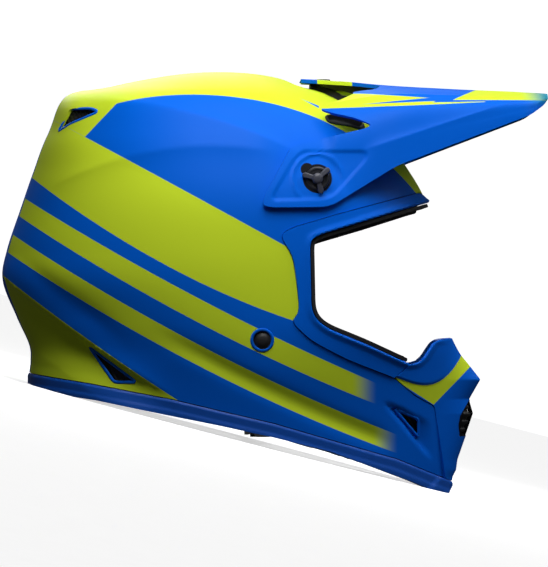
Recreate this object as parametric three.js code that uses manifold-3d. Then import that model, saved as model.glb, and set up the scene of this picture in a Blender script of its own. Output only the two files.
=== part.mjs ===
// Motocross helmet: hollow shell, sun visor on two side pivots, chin bar, padding and chin strap.
// Millimetres, +Z up, the wearer faces +X, +Y is the wearer's left. It stands on its lower rim.
import * as THREE from 'three';
import { mergeVertices } from 'three/addons/utils/BufferGeometryUtils.js';
import Module from 'manifold-3d';

const wasm = await Module();
wasm.setup();
const { Manifold, Mesh } = wasm;

// ---- driving dimensions ----
const SHELL_LENGTH = 321;      // rearmost point of the shell to the front of the chin bar
const SHELL_WIDTH = 252;       // over the ears
const SHELL_HEIGHT = 304;      // crown to the bottom of the chin bar
const REST_TILT = 14.6;        // degrees the nose rises when the helmet stands on its rim
const SHELL_WALL = 3.0;        // laminate thickness
const TRIM_PROUD = 1.0;        // edge trim stands this far outside the shell
const FRAME_PROUD = 1.2;       // eyeport frame stands this far outside the shell
const FRAME_WALL = 3.0;
const LINER_WALL = 9;          // comfort padding on the head
const CHIN_LINER_WALL = 18;    // foam behind the chin bar
const CHEEK_PAD_WALL = 14;     // soft cheek padding
const VISOR_WALL = 2.4;
const ARM_CLEARANCE = 2.2;     // visor arm to shell
const PIVOT_DISC_RADIUS = 10.4;
const THUMB_SCREW_RADIUS = 8.6;
const SCREW_SHANK_RADIUS = 3.0;
const RIVET_RADIUS = 6.8;
const STRAP_WIDTH = 18;
const STRAP_THICKNESS = 2.0;
const BROW_SCOOP_INNER = 45;    // brow scoops start this far from the midline
const THROUGH = 60;             // length of a cutter that passes right through
const SHANK_REACH = 13;         // side screw shank inside the shell
const INSERT_RADIUS = 7;
const INSERT_DEPTH = 14;
const DISC_THICKNESS = 1.6;
const HUB_RADIUS = 3.1;
const HUB_HEIGHT = 5.6;
const BLADE_ANGLES = [40, 165, 285];
const BLADE_HEIGHT = 3.2;
const BLADE_WIDTH = 2.6;
const MOUNT_HALF_WIDTH = 11;
const MOUNT_BORE = 2.8;
const ANCHOR_PIN_RADIUS = 2;
const ANCHOR_HEAD_RADIUS = 3.6;
const STRAP_DROP = 28;         // loop depth below its two hinge points
const D_RING_WIRE = 1.6;
const GAP = 0.3;               // air between neighbouring parts
const GASKET_WIDTH = 2.2;
const GASKET_PROUD = 0.4;
const GASKET_DEPTH = 6;
const FLAT_CUT = 2.6;          // rim shaved to a real flat where it stands

// ---- proportions: everything below follows the three overall sizes ----
const KX = SHELL_LENGTH / 321;
const KY = SHELL_WIDTH / 252;
const KZ = SHELL_HEIGHT / 304;
const at = (list) => list.map(([x, z]) => [x * KX, z * KZ]);

// shell stations from the crown down: front x, front z, rear x, rear z, half width,
// squareness of the front half and of the rear half
const SHELL_STATIONS = [
  [-8, 110, -8, 110, 0, 2.0, 2.0],
  [26, 108, -40, 107.5, 42, 2.1, 2.1],
  [58, 100, -80, 100, 75, 2.2, 2.2],
  [88, 86, -112, 90, 97, 2.3, 2.3],
  [112, 66, -128, 64, 111, 2.4, 2.3],
  [131, 41, -138, 38, 120, 2.35, 2.2],
  [145, 16, -147, 12, 125, 2.3, 2.15],
  [154, -16, -157, -18, 126, 2.15, 2.1],
  [162, -48, -160, -40, 125, 2.0, 2.1],
  [170, -81, -150, -66, 122, 1.85, 2.1],
  [173, -108, -141, -86, 118, 1.7, 2.1],
  [172, -140, -140, -98, 113, 1.65, 2.15],
  [170, -172, -141, -108, 109, 1.65, 2.2],
  [167, -205, -140, -124, 106, 1.65, 2.2],
];
// head form stations, the same columns
const HEAD_STATIONS = [
  [-9, 70, -9, 70, 0, 2.0, 2.0],
  [28, 65, -48, 65, 36, 2.0, 2.0],
  [62, 46, -80, 48, 60, 2.0, 2.0],
  [84, 16, -101, 18, 74, 2.1, 2.0],
  [92, -18, -108, -16, 79, 2.1, 2.0],
  [93, -52, -106, -50, 78, 2.1, 2.0],
  [93, -90, -99, -80, 73, 2.1, 2.0],
  [93, -130, -94, -110, 69, 2.1, 2.0],
  [93, -240, -94, -190, 68, 2.1, 2.0],
];

// outlines seen from the side: x forward, z up
const EYEPORT = at([[61, -12], [66, -8.5], [100, 2], [135, 12.5], [148, 16.5], [215, 20], [215, -78],
  [162, -81], [151, -82], [147.5, -86], [140.5, -97], [132.5, -99.5], [101, -85], [75, -74.5], [66, -68],
  [62, -60]]);
const FRAME = at([[39, -8.5], [47, -3], [88, 9], [132, 21], [141, 23.5], [148, 16.5], [215, 20], [215, -70],
  [150, -74], [121, -109.4], [88, -96.5], [62, -83], [47, -69], [53.5, -63], [51.5, -42], [48.5, -22]]);
const NOSE = at([[121, -109.4], [132.5, -99.5], [140.5, -97], [147.5, -86], [151, -82], [151, -70],
  [220, -70], [220, -200], [158.5, -200], [157.7, -179.3], [149.8, -129.6], [136, -122]]);
const TRIM = at([[-190, -99], [-142, -106], [-96, -113], [-37, -124], [35, -141], [123, -167], [154, -179],
  [157.5, -179.6], [220, -185], [220, -260], [-190, -260]]);
const TRIM_CUT = at([[-190, -110], [-140, -114], [-122, -120.6], [-91, -125], [-37, -136], [-4, -142.5],
  [35, -151], [75, -161], [133, -183], [158, -194], [220, -216], [220, -320], [-190, -320]]);
const CHIN_VENT = at([[122.5, -132], [137.5, -140], [137.5, -150]]);
const REAR_LOWER_VENT = at([[-96, -87], [-62, -112], [-78, -112]]);
const REAR_UPPER_VENT = at([[-119, 66], [-110, 82.5], [-95, 82.5], [-89, 80], [-110, 71.5]]);
const BROW_VENT = at([[72, 68], [98, 67.5], [96, 77], [76, 78]]);
const LINER_CUT = at([[52, -22], [66, -15], [100, -5], [135, 6], [215, 12], [215, -300], [-10, -300],
  [-10, -70], [52, -62]]);
const LINER_BASE = at([[-220, -90], [-10, -90], [-10, -300], [-220, -300]]);
const CHIN_LINER = at([[-8, -71], [52, -63.5], [62, -66], [75, -78], [101, -89], [128, -103], [140, -104],
  [158, -104], [158, -171], [123, -162], [35, -136], [-8, -127]]);
const CHEEK = at([[-4, -73], [50, -66], [70, -77], [84, -82], [84, -119], [40, -107], [-4, -102]]);
const NECK_ROLL = at([[-220, -91], [-12, -91], [-12, -115], [-96, -108], [-142, -101], [-220, -96]]);
const PIVOT = at([[66, 32]])[0];
const RIVET = at([[27, -82]])[0];
const STRAP_PIN = at([[27, -118]])[0];
const CENTRE_SCREW = at([[70, 104]])[0];

// visor stations along x: x, centre height, crease half width, crease height, arm-top height, arm-bottom
// height, arm-bottom half width (0: follow the shell)
const VISOR_STATIONS = [
  [20, 106, 88, 84, 60, 9, 0],
  [45, 106, 88, 84, 60, 9, 0],
  [56, 105.5, 88, 84, 62, 9, 0],
  [66, 105, 87, 84, 63, 9, 0],
  [78, 104, 87, 86, 66, 11, 108.5],
  [91, 103, 86.5, 88.5, 68, 19, 106],
  [106, 101.5, 85.5, 91, 74, 27, 103],
  [124, 100, 84, 92.5, 80, 39, 101],
  [150, 98.5, 81.5, 92, 82, 49, 97],
  [180, 97, 78, 91, 84, 61.5, 92],
  [205, 96, 74, 90.5, 86, 71.5, 87],
  [218, 95.2, 69, 90.5, 87, 76, 81],
  [226, 94.8, 60, 91, 88.5, 82, 70],
  [231, 94.4, 44, 92, 90, 88, 50],
];
const VISOR_SIDE = at([[27, 13], [29, 20], [48, 55], [53, 56.3], [84, 64], [101, 68], [104.5, 70.5],
  [92, 75.5], [76, 79], [67, 82.2], [67, 96], [55, 97], [54, 120], [245, 120], [245, 98], [232, 91.5],
  [228.5, 85.7], [218, 77.8], [132, 45], [122, 41], [112, 35], [78, 14], [71, 12], [35, 11.5]]);
const RAIL_TAPER = at([[60, 81], [66, 81.5], [88, 91.5], [88, 100], [60, 100]]);
const DECK_HOLE = [[40, 25], [94, 27], [112, 44], [108, 66], [88, 74], [40, 74]]
  .map(([x, y]) => [x * KX, y * KY]);
const NOSE_STATIONS = [
  [-81.5, 149, 161, 40, 26, 18],
  [-94, 147, 170, 46, 29, 18],
  [-111, 145, 184, 50, 30, 16],
  [-126, 146, 175.5, 49, 29, 17],
  [-136, 147.5, 178.6, 47, 28, 15],
  [-169, 154, 167, 40, 25, 13],
  [-181, 157, 163.5, 36, 23, 12],
];

// ---- small helpers ----
const lerp = (a, b, t) => a + (b - a) * t;

function spline(rows, t) {
  const n = rows.length - 1;
  const s = Math.min(Math.max(t, 0), 1) * n;
  const i = Math.min(Math.floor(s), n - 1);
  const f = s - i;
  const a = rows[Math.max(i - 1, 0)];
  const b = rows[i];
  const c = rows[i + 1];
  const d = rows[Math.min(i + 2, n)];
  return b.map((_, k) => 0.5 * (2 * b[k] + (c[k] - a[k]) * f
    + (2 * a[k] - 5 * b[k] + 4 * c[k] - d[k]) * f * f + (3 * b[k] - a[k] - 3 * c[k] + d[k]) * f * f * f));
}

function ringPoint(rows, v, angle) {
  const [fx, fz, rx, rz, w, nf, nr] = spline(rows, v);
  const c = Math.cos(angle);
  const s = Math.sin(angle);
  const n = c > 0 ? nf : nr;
  const along = Math.sign(c) * Math.abs(c) ** (2 / n);
  const side = Math.sign(s) * Math.abs(s) ** (2 / n);
  const t = 0.5 + 0.5 * along;
  return new THREE.Vector3(lerp(rx, fx, t) * KX, w * side * KY, lerp(rz, fz, t) * KZ);
}

function ringNormal(rows, v, angle) {
  const e = 0.004;
  const lo = Math.max(v - e, 0.012);
  const hi = Math.min(v + e, 1);
  const du = ringPoint(rows, Math.max(v, 0.012), angle + 0.02)
    .sub(ringPoint(rows, Math.max(v, 0.012), angle - 0.02));
  const dv = ringPoint(rows, hi, angle).sub(ringPoint(rows, lo, angle));
  if (v < 0.012) return new THREE.Vector3(0, 0, 1);
  return dv.cross(du).normalize();
}

function surfaceY(rows, x, z) {
  let lo = 0.02;
  let hi = 1;
  let y = 0;
  for (let i = 0; i < 40; i += 1) {
    const v = (lo + hi) / 2;
    const [fx, fz, rx, rz, w, nf, nr] = spline(rows, v);
    const t = Math.min(Math.max((x / KX - rx) / (fx - rx), 0), 1);
    const along = Math.abs(2 * t - 1);
    const n = t > 0.5 ? nf : nr;
    y = w * KY * (1 - along ** n) ** (1 / n);
    const above = lerp(rz, fz, t) * KZ > z;
    lo = above ? v : lo;
    hi = above ? hi : v;
  }
  return y;
}

function solid(positions, faces) {
  const mesh = new Mesh({
    numProp: 3,
    vertProperties: new Float32Array(positions),
    triVerts: new Uint32Array(faces),
  });
  mesh.merge();
  const body = new Manifold(mesh);
  if (body.volume() < 0) throw new Error('inside out');
  return body;
}

function fromGeometry(geometry) {
  const g = geometry.clone();
  g.deleteAttribute('normal');
  g.deleteAttribute('uv');
  const m = mergeVertices(g, 1e-4);
  return solid(m.attributes.position.array, m.index.array);
}

function plug(rows, inset, rings, around) {
  const p = [];
  const f = [];
  const top = ringPoint(rows, 0, 0);
  p.push(top.x, top.y, top.z - inset);
  for (let i = 1; i <= rings; i += 1) {
    const v = i / rings;
    for (let j = 0; j < around; j += 1) {
      const a = (j / around) * Math.PI * 2;
      const q = ringPoint(rows, v, a).addScaledVector(ringNormal(rows, v, a), -inset);
      if (i === rings) q.z -= 60;
      p.push(q.x, j === 0 || j * 2 === around ? 0 : q.y, q.z);
    }
  }
  const id = (i, j) => 1 + (i - 1) * around + (j % around);
  for (let j = 0; j < around; j += 1) f.push(0, id(1, j), id(1, j + 1));
  for (let i = 1; i < rings; i += 1) {
    for (let j = 0; j < around; j += 1) {
      f.push(id(i, j), id(i + 1, j), id(i + 1, j + 1), id(i, j), id(i + 1, j + 1), id(i, j + 1));
    }
  }
  const base = p.length / 3;
  const low = ringPoint(rows, 1, 0);
  p.push(0, 0, low.z - 90);
  for (let j = 0; j < around; j += 1) f.push(base, id(rings, j + 1), id(rings, j));
  return solid(p, f);
}

function extrude(shape, depth) {
  return new THREE.ExtrudeGeometry(shape, { depth, bevelEnabled: false, curveSegments: 1 });
}

function prism(outline, yLow = -200, yHigh = 200) {
  const shape = new THREE.Shape(outline.map(([x, z]) => new THREE.Vector2(x, z)));
  const g = extrude(shape, yHigh - yLow);
  g.rotateX(Math.PI / 2);
  g.translate(0, yHigh, 0);
  return fromGeometry(g);
}

function grow(outline, d) {
  const area = outline.reduce((s, [x, z], i) => {
    const [x2, z2] = outline[(i + 1) % outline.length];
    return s + x * z2 - x2 * z;
  }, 0);
  const side = area > 0 ? 1 : -1;
  return outline.map(([x, z], i) => {
    const [xa, za] = outline[(i + outline.length - 1) % outline.length];
    const [xb, zb] = outline[(i + 1) % outline.length];
    const a = new THREE.Vector2(z - za, xa - x).normalize();
    const b = new THREE.Vector2(zb - z, x - xb).normalize();
    const m = a.clone().add(b).normalize();
    const k = (side * d) / Math.max(m.dot(b), 0.45);
    return [x + m.x * k, z + m.y * k];
  });
}

function box(x0, x1, y0, y1, z0, z1) {
  const g = new THREE.BoxGeometry(x1 - x0, y1 - y0, z1 - z0);
  g.translate((x0 + x1) / 2, (y0 + y1) / 2, (z0 + z1) / 2);
  return fromGeometry(g);
}

function peg(radius, y0, y1, x, z, segments = 24) {
  const g = new THREE.CylinderGeometry(radius, radius, Math.abs(y1 - y0), segments);
  g.translate(x, (y0 + y1) / 2, z);
  return fromGeometry(g);
}

const MIDLINE = 0.2;
function half(sign) {
  const [low, high] = sign > 0 ? [MIDLINE, 300] : [-300, -MIDLINE];
  return box(-400, 400, low, high, -500, 300);
}

function upright(radiusTop, radiusLow, height, x, z, segments) {
  const g = new THREE.CylinderGeometry(radiusTop, radiusLow, height, segments);
  g.rotateX(Math.PI / 2);
  g.translate(x, 0, z);
  return fromGeometry(g);
}

function crosswise(radius, length, x, y, z, segments) {
  const g = new THREE.CylinderGeometry(radius, radius, length, segments);
  g.rotateZ(Math.PI / 2);
  g.translate(x, y, z);
  return fromGeometry(g);
}

const RINGS = 16;
const AROUND = 36;
const shellPlug = (inset) => plug(SHELL_STATIONS, inset, RINGS, AROUND);
const headPlug = (outset) => plug(HEAD_STATIONS, -outset, 9, 24);
const skin = (outer, inner) => shellPlug(outer).subtract(shellPlug(inner));
const cutAll = (body, tools) => tools.reduce((b, t) => b.subtract(t), body);
const joinAll = (bodies) => bodies.slice(1).reduce((b, t) => b.add(t), bodies[0]);

// keeps the one large body and drops slivers left by a cut
function mainBody(body) {
  const list = body.decompose();
  return list.reduce((a, b) => (b.volume() > a.volume() ? b : a), list[0]);
}

const group = new THREE.Group();
group.name = 'motocross_helmet';

function add(name, body, color, roughness = 0.6, metalness = 0) {
  const m = mainBody(body).getMesh();
  const g = new THREE.BufferGeometry();
  g.setAttribute('position', new THREE.BufferAttribute(new Float32Array(m.vertProperties), 3));
  g.setIndex(new THREE.BufferAttribute(new Uint32Array(m.triVerts), 1));
  g.computeVertexNormals();
  const mesh = new THREE.Mesh(g, new THREE.MeshStandardMaterial({ color, roughness, metalness }));
  mesh.name = name;
  group.add(mesh);
}

// ---- colours ----
const BLUE = 0x0052cc;
const YELLOW = 0xc4dc1c;
const BLACK = 0x16171a;
const GREY = 0x4a4c58;
const FABRIC = 0x1b1c20;
const STEEL = 0xb9bcc2;
const FOAM = 0x2a2b2e;

// ---- shell ----
const eyeport = prism(EYEPORT);
const frameZone = prism(grow(FRAME, GAP));
const trimZone = prism(grow(TRIM, GAP));
const noseZone = prism(grow(NOSE, GAP));
const armY = (x, z) => surfaceY(SHELL_STATIONS, x, z);
const pivotY = armY(PIVOT[0], PIVOT[1]);
const rivetY = armY(RIVET[0], RIVET[1]);

function makeShell() {
  let body = cutAll(skin(0, SHELL_WALL), [frameZone, trimZone, noseZone, eyeport]);
  for (const outline of [CHIN_VENT, REAR_LOWER_VENT, REAR_UPPER_VENT]) {
    body = body.subtract(prism(outline));
  }
  const bridge = BROW_SCOOP_INNER - GAP;
  body = body.subtract(prism(grow(BROW_VENT, GAP)).subtract(box(0, 200, -bridge * KY, bridge * KY, 0, 200)));
  for (const s of [-1, 1]) {
    body = body.subtract(peg(SCREW_SHANK_RADIUS + GAP, s * (pivotY - 25), s * (pivotY + 20), ...PIVOT));
    body = body.subtract(peg(RIVET_RADIUS + GAP, s * (rivetY - 25), s * (rivetY + 20), ...RIVET));
  }
  const hole = SCREW_SHANK_RADIUS + GAP;
  return body.subtract(upright(hole, hole, THROUGH, ...CENTRE_SCREW, 20));
}
add('outer_shell', makeShell(), BLUE, 0.5);

function makeFrame() {
  const band = skin(-FRAME_PROUD, FRAME_WALL).intersect(prism(FRAME));
  const openFront = prism(at([[150, 8], [150, -80], [220, -80], [220, 8]]));
  return cutAll(band, [eyeport, noseZone, openFront]);
}
add('eyeport_frame', makeFrame(), BLUE, 0.5);

function makeGasket() {
  const inner = grow(EYEPORT, -GASKET_WIDTH);
  const ring = prism(grow(EYEPORT, -GAP)).subtract(prism(inner));
  const openFront = prism(at([[140, -20], [230, -20], [230, -120], [130, -120], [130, -98]]));
  return cutAll(skin(-GASKET_PROUD, GASKET_DEPTH).intersect(ring), [noseZone, openFront]);
}
add('eyeport_gasket', makeGasket(), BLACK, 0.8);

function makeTrim() {
  const chin = skin(-TRIM_PROUD, 10).intersect(box(146 * KX, 163.5 * KX, -90, 90, -300, -100));
  const band = skin(-TRIM_PROUD, SHELL_WALL).subtract(box(146 * KX, 300, -200, 200, -400, 0)).add(chin);
  return band.intersect(prism(TRIM)).subtract(prism(TRIM_CUT));
}

function makeNose() {
  const ring = ([z, xb, xf, yb, ym, yf], inset) => {
    const list = [[xb - (inset ? 6 : 0), yb - inset], [lerp(xb, xf, 0.62) - inset, ym - inset * 0.6],
      [xf - inset, yf - inset * 0.7]];
    const full = [...list, ...list.slice().reverse().map(([x, y]) => [x, -y])];
    return full.map(([x, y]) => [x * KX, y * KY, z * KZ]);
  };
  const loft = (inset, dz) => {
    const p = [];
    const f = [];
    const rings = NOSE_STATIONS.map((s, i) => ring(s, inset));
    rings.forEach((r, i) => r.forEach(([x, y, z]) => {
      const end = i === 0 ? -dz : (i === rings.length - 1 ? dz : 0);
      p.push(x, y, z + end);
    }));
    const n = 6;
    for (let i = 0; i + 1 < rings.length; i += 1) {
      for (let j = 0; j < n; j += 1) {
        const a = i * n + j;
        const b = i * n + ((j + 1) % n);
        f.push(a, b, b + n, a, b + n, a + n);
      }
    }
    const last = (rings.length - 1) * n;
    for (let j = 1; j + 1 < n; j += 1) {
      f.push(0, j + 1, j);
      f.push(last, last + j, last + j + 1);
    }
    return [p, f];
  };
  const make = (inset, dz) => {
    const [p, f] = loft(inset, dz);
    return solid(p, f);
  };
  return { outer: make(0, 0), inner: make(3, 3), fitted: make(3.3, 2) };
}
const nose = makeNose();

function makeMouthpiece() {
  const arms = skin(-0.5, SHELL_WALL).intersect(prism(NOSE)).subtract(eyeport)
    .subtract(prism(at([[153, -60], [153, -300], [230, -300], [230, -60]])));
  const below = prism(grow(TRIM, GAP), -60, 60);
  const inside = shellPlug(SHELL_WALL).intersect(box(0, 152 * KX, -200, 200, -400, 0));
  let body = arms.add(nose.outer.subtract(inside)).subtract(nose.inner);
  body = body.intersect(prism(NOSE)).subtract(below);
  for (const s of [-1, 1]) {
    body = body.subtract(box(162 * KX, 200 * KX, s * 4 - (s < 0 ? 10 : 0), s * 4 + (s > 0 ? 10 : 0),
      -149 * KZ, -128 * KZ));
  }
  return body;
}
add('mouthpiece', makeMouthpiece(), BLUE, 0.5);

function makeGrille() {
  const slab = box(162 * KX, 162 * KX + 1.6, -40, 40, -157 * KZ, -114 * KZ);
  let body = slab.intersect(nose.fitted);
  for (let i = 0; i < 4; i += 1) {
    const z = (-150 + i * 9) * KZ;
    body = body.subtract(box(150 * KX, 180 * KX, -17 * KY, 17 * KY, z, z + 4.5));
  }
  return body;
}
add('mouthpiece_grille', makeGrille(), BLACK, 0.7);

const SIDES = [['left', 1], ['right', -1]];
const VENTS = [['chin_vent_mesh', CHIN_VENT], ['rear_lower_vent_mesh', REAR_LOWER_VENT],
  ['rear_upper_vent_mesh', REAR_UPPER_VENT]];
for (const [vent, outline] of VENTS) {
  for (const [side, s] of SIDES) {
    const sheet = skin(1.0, 2.2).intersect(prism(grow(outline, -GAP)));
    add(`${vent}_${side}`, sheet.intersect(half(s)), BLACK, 0.8);
  }
}

function makeBrowScoop(s) {
  const cup = skin(-3, SHELL_WALL).intersect(prism(BROW_VENT));
  const throat = skin(-1.6, 1.6).intersect(prism(grow(BROW_VENT, -1.6)));
  const mouth = prism(at([[90, 60], [110, 60], [110, 90], [90, 90]]));
  return cup.subtract(throat).subtract(skin(-4, -1.5).intersect(mouth))
    .intersect(half(s)).subtract(box(0, 200, -BROW_SCOOP_INNER * KY, BROW_SCOOP_INNER * KY, 0, 200));
}
SIDES.forEach(([side, s]) => add(`brow_scoop_${side}`, makeBrowScoop(s), BLACK, 0.7));

// ---- strap anchors: webbing from each rivet, inside the liner, down to a pin under the cheek pad ----
const pinY = 73 * KY;
function webbing(path, halfThickness, x0, x1) {
  const up = [];
  const down = [];
  path.forEach(([y, z], i) => {
    const [ya, za] = path[Math.max(i - 1, 0)];
    const [yb, zb] = path[Math.min(i + 1, path.length - 1)];
    const n = new THREE.Vector2(-(zb - za), yb - ya).normalize().multiplyScalar(halfThickness);
    up.push(new THREE.Vector2(y + n.x, z + n.y));
    down.unshift(new THREE.Vector2(y - n.x, z - n.y));
  });
  const g = extrude(new THREE.Shape([...up, ...down]), x1 - x0);
  g.rotateX(Math.PI / 2);
  g.rotateZ(Math.PI / 2);
  g.translate(x0, 0, 0);
  return fromGeometry(g);
}
const anchorPath = [[rivetY - SHELL_WALL - 3.2, RIVET[1] + 9], [rivetY - SHELL_WALL - 3.2, RIVET[1] - 9],
  [lerp(rivetY, pinY, 0.45), lerp(RIVET[1], STRAP_PIN[1], 0.62)], [pinY + 5.4, STRAP_PIN[1] + 8],
  [pinY + 3.6, STRAP_PIN[1] - 6]];
const mirrored = (path, s) => path.map(([y, z]) => [y * s, z]);
const strapX0 = RIVET[0] - STRAP_WIDTH / 2;
const strapX1 = RIVET[0] + STRAP_WIDTH / 2;
const anchorSlot = (s) => {
  const longer = [...anchorPath.slice(0, -1), [pinY + 2, STRAP_PIN[1] - 8]];
  return webbing(mirrored(longer, s), STRAP_THICKNESS / 2 + 1.2, strapX0 - 1, strapX1 + 1);
};
function makeAnchor(s) {
  const strip = webbing(mirrored(anchorPath, s), STRAP_THICKNESS / 2, strapX0, strapX1)
    .subtract(shellPlug(-50).subtract(shellPlug(SHELL_WALL + GAP)));
  const pin = peg(ANCHOR_PIN_RADIUS, s * (pinY - 3), s * (pinY + 4.4), ...STRAP_PIN, 14);
  const head = peg(ANCHOR_HEAD_RADIUS, s * (pinY - 4.4), s * (pinY - 2.8), ...STRAP_PIN, 14);
  return strip.add(pin).add(head);
}
const slots = anchorSlot(1).add(anchorSlot(-1));
SIDES.forEach(([side, s]) => add(`strap_anchor_${side}`, makeAnchor(s), FABRIC, 0.9));

function makeRivet(s) {
  const points = [[0, -3.0], [RIVET_RADIUS, -3.0], [RIVET_RADIUS, -0.6], [RIVET_RADIUS * 0.82, 0.5],
    [RIVET_RADIUS * 0.45, 1.2], [0, 1.4]].map(([r, h]) => new THREE.Vector2(r, h));
  const g = new THREE.LatheGeometry(points, 24);
  if (s < 0) g.rotateX(Math.PI);
  g.translate(RIVET[0], s * (rivetY - 0.8), RIVET[1]);
  const body = fromGeometry(g);
  return body.intersect(shellPlug(-40)).subtract(shellPlug(SHELL_WALL));
}
SIDES.forEach(([side, s]) => add(`strap_rivet_${side}`, makeRivet(s), BLACK, 0.45));

// ---- visor ----
function visorSection([x, zc, yc, zr, zTop, zLow, yLow]) {
  const out = VISOR_WALL + ARM_CLEARANCE;
  const shellSide = (z) => (x < 125 ? surfaceY(SHELL_STATIONS, x * KX, z * KZ) + out : 0);
  const zMid = (zTop + zLow) / 2;
  const wide = (z, y) => Math.max(shellSide(z), y * KY);
  const yTop = yLow ? wide(zTop, lerp(yc, yLow, 0.62) + 1.5) : shellSide(zTop);
  const yMid = yLow ? wide(zMid, lerp(yc, yLow, 0.86) + 1.0) : shellSide(zMid);
  const yBottom = yLow ? wide(zLow, yLow) : shellSide(zLow);
  return [[0, zc * KZ], [yc * KY * 0.45, lerp(zc, zr, 0.14) * KZ], [yc * KY * 0.8, lerp(zc, zr, 0.55) * KZ],
    [yc * KY, zr * KZ], [yTop, zTop * KZ], [yMid, zMid * KZ], [yBottom, zLow * KZ]];
}

function visorLoop(row) {
  const line = visorSection(row);
  const inner = line.map(([y, z], i) => {
    const [ya, za] = i === 0 ? [-line[1][0], line[1][1]] : line[i - 1];
    const [yb, zb] = line[Math.min(i + 1, line.length - 1)];
    const n = new THREE.Vector2(zb - za, -(yb - ya)).normalize().multiplyScalar(VISOR_WALL);
    return [i === 0 ? 0 : y + n.x, z + n.y];
  });
  const both = (list) => [...list.slice(1).reverse().map(([y, z]) => [-y, z]), ...list];
  return [both(line), both(inner)];
}

function makeVisor() {
  const p = [];
  const f = [];
  const count = 13;
  VISOR_STATIONS.forEach((row) => {
    const [outer, inner] = visorLoop(row);
    for (const [y, z] of [...outer, ...inner.reverse()]) p.push(row[0] * KX, y, z);
  });
  const ring = count * 2;
  const last = (VISOR_STATIONS.length - 1) * ring;
  for (let i = 0; i + 1 < VISOR_STATIONS.length; i += 1) {
    for (let j = 0; j < ring; j += 1) {
      const a = i * ring + j;
      const b = i * ring + ((j + 1) % ring);
      f.push(a, b + ring, b, a, a + ring, b + ring);
    }
  }
  for (let j = 0; j + 1 < count; j += 1) {
    const k = ring - 1 - j;
    f.push(j, k - 1, k, j, j + 1, k - 1);
    f.push(last + j, last + k, last + k - 1, last + j, last + k - 1, last + j + 1);
  }
  let body = solid(p, f);
  body = body.intersect(prism(VISOR_SIDE));
  for (const s of [-1, 1]) {
    const hole = new THREE.Shape(DECK_HOLE.map(([x, y]) => new THREE.Vector2(x, s * y)));
    const g = extrude(hole, 60 * KZ);
    g.translate(0, 0, 78 * KZ);
    body = body.subtract(fromGeometry(g));
  }
  for (const side of [[40, 200], [-200, -40]]) body = body.subtract(prism(RAIL_TAPER, ...side));
  const slot = box(CENTRE_SCREW[0] - 10.4 * KX, CENTRE_SCREW[0] + 6.5 * KX, -2.9, 2.9, 90 * KZ, 120 * KZ);
  body = body.subtract(slot);
  const face = pivotY + ARM_CLEARANCE + VISOR_WALL;
  for (const s of [-1, 1]) {
    body = body.add(peg(PIVOT_DISC_RADIUS + 2.4, s * (pivotY - 2), s * (face + 1.8), ...PIVOT, 32));
    body = body.subtract(peg(PIVOT_DISC_RADIUS, s * (face + 0.2), s * (face + 30), ...PIVOT, 32));
    body = body.subtract(peg(SCREW_SHANK_RADIUS + GAP, s * (pivotY - 25), s * (face + 30), ...PIVOT));
  }
  return body.subtract(shellPlug(-ARM_CLEARANCE).subtract(box(-400, 400, -40 * KY, 40 * KY, 0, 300)));
}
add('visor', makeVisor(), BLUE, 0.5);

function makeThumbScrew(s) {
  const y0 = pivotY + ARM_CLEARANCE + VISOR_WALL + 0.2 + GAP;
  const rod = (r, a, b, n) => peg(r, s * a, s * b, ...PIVOT, n);
  const disc = rod(THUMB_SCREW_RADIUS, y0, y0 + DISC_THICKNESS, 28);
  const shank = rod(SCREW_SHANK_RADIUS, pivotY - SHANK_REACH, y0 + 1, 16);
  const hub = rod(HUB_RADIUS, y0 + 1, y0 + HUB_HEIGHT, 18);
  let body = joinAll([disc, shank, hub]);
  for (const turn of BLADE_ANGLES) {
    const g = new THREE.BoxGeometry(THUMB_SCREW_RADIUS + 0.6, BLADE_HEIGHT, BLADE_WIDTH);
    g.translate((THUMB_SCREW_RADIUS + 0.6) / 2, s * (y0 + DISC_THICKNESS + 1.2), 0);
    g.rotateY((-turn * Math.PI) / 180);
    g.translate(PIVOT[0], 0, PIVOT[1]);
    body = body.add(fromGeometry(g));
  }
  return body;
}
SIDES.forEach(([side, s]) => add(`visor_screw_${side}`, makeThumbScrew(s), GREY, 0.5, 0.2));

function makeInsert(s) {
  const flange = peg(INSERT_RADIUS, s * (pivotY - INSERT_DEPTH), s * (pivotY + 6), ...PIVOT);
  const bore = peg(SCREW_SHANK_RADIUS + GAP, s * (pivotY - 20), s * (pivotY + 8), ...PIVOT, 20);
  return flange.intersect(shellPlug(SHELL_WALL + GAP)).subtract(bore);
}
SIDES.forEach(([side, s]) => add(`visor_insert_${side}`, makeInsert(s), STEEL, 0.4, 0.8));

function makeCrownMount() {
  const outline = at([[59, 70], [97, 66], [97, 96.5], [88, 101], [59, 106]]);
  const arc = Math.hypot(CENTRE_SCREW[0] - PIVOT[0], CENTRE_SCREW[1] - PIVOT[1] - VISOR_WALL) - 2.0;
  const block = prism(outline, -MOUNT_HALF_WIDTH, MOUNT_HALF_WIDTH).subtract(shellPlug(-GAP));
  const body = block.intersect(peg(arc, -12, 12, ...PIVOT, 120));
  return body.subtract(upright(MOUNT_BORE, MOUNT_BORE, THROUGH, ...CENTRE_SCREW, 18));
}
add('crown_mount', makeCrownMount(), YELLOW, 0.5);

function makeCentreScrew() {
  const top = CENTRE_SCREW[1] + 2.2;
  const points = [[0, -22], [2.4, -22], [2.4, 0], [6, 0], [6, 1.4], [4.4, 2.6], [0, 2.6]];
  const g = new THREE.LatheGeometry(points.map(([r, h]) => new THREE.Vector2(r, h)), 24);
  g.rotateX(Math.PI / 2);
  g.translate(CENTRE_SCREW[0], 0, top);
  return fromGeometry(g);
}
add('visor_centre_screw', makeCentreScrew(), GREY, 0.5, 0.2);

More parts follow.
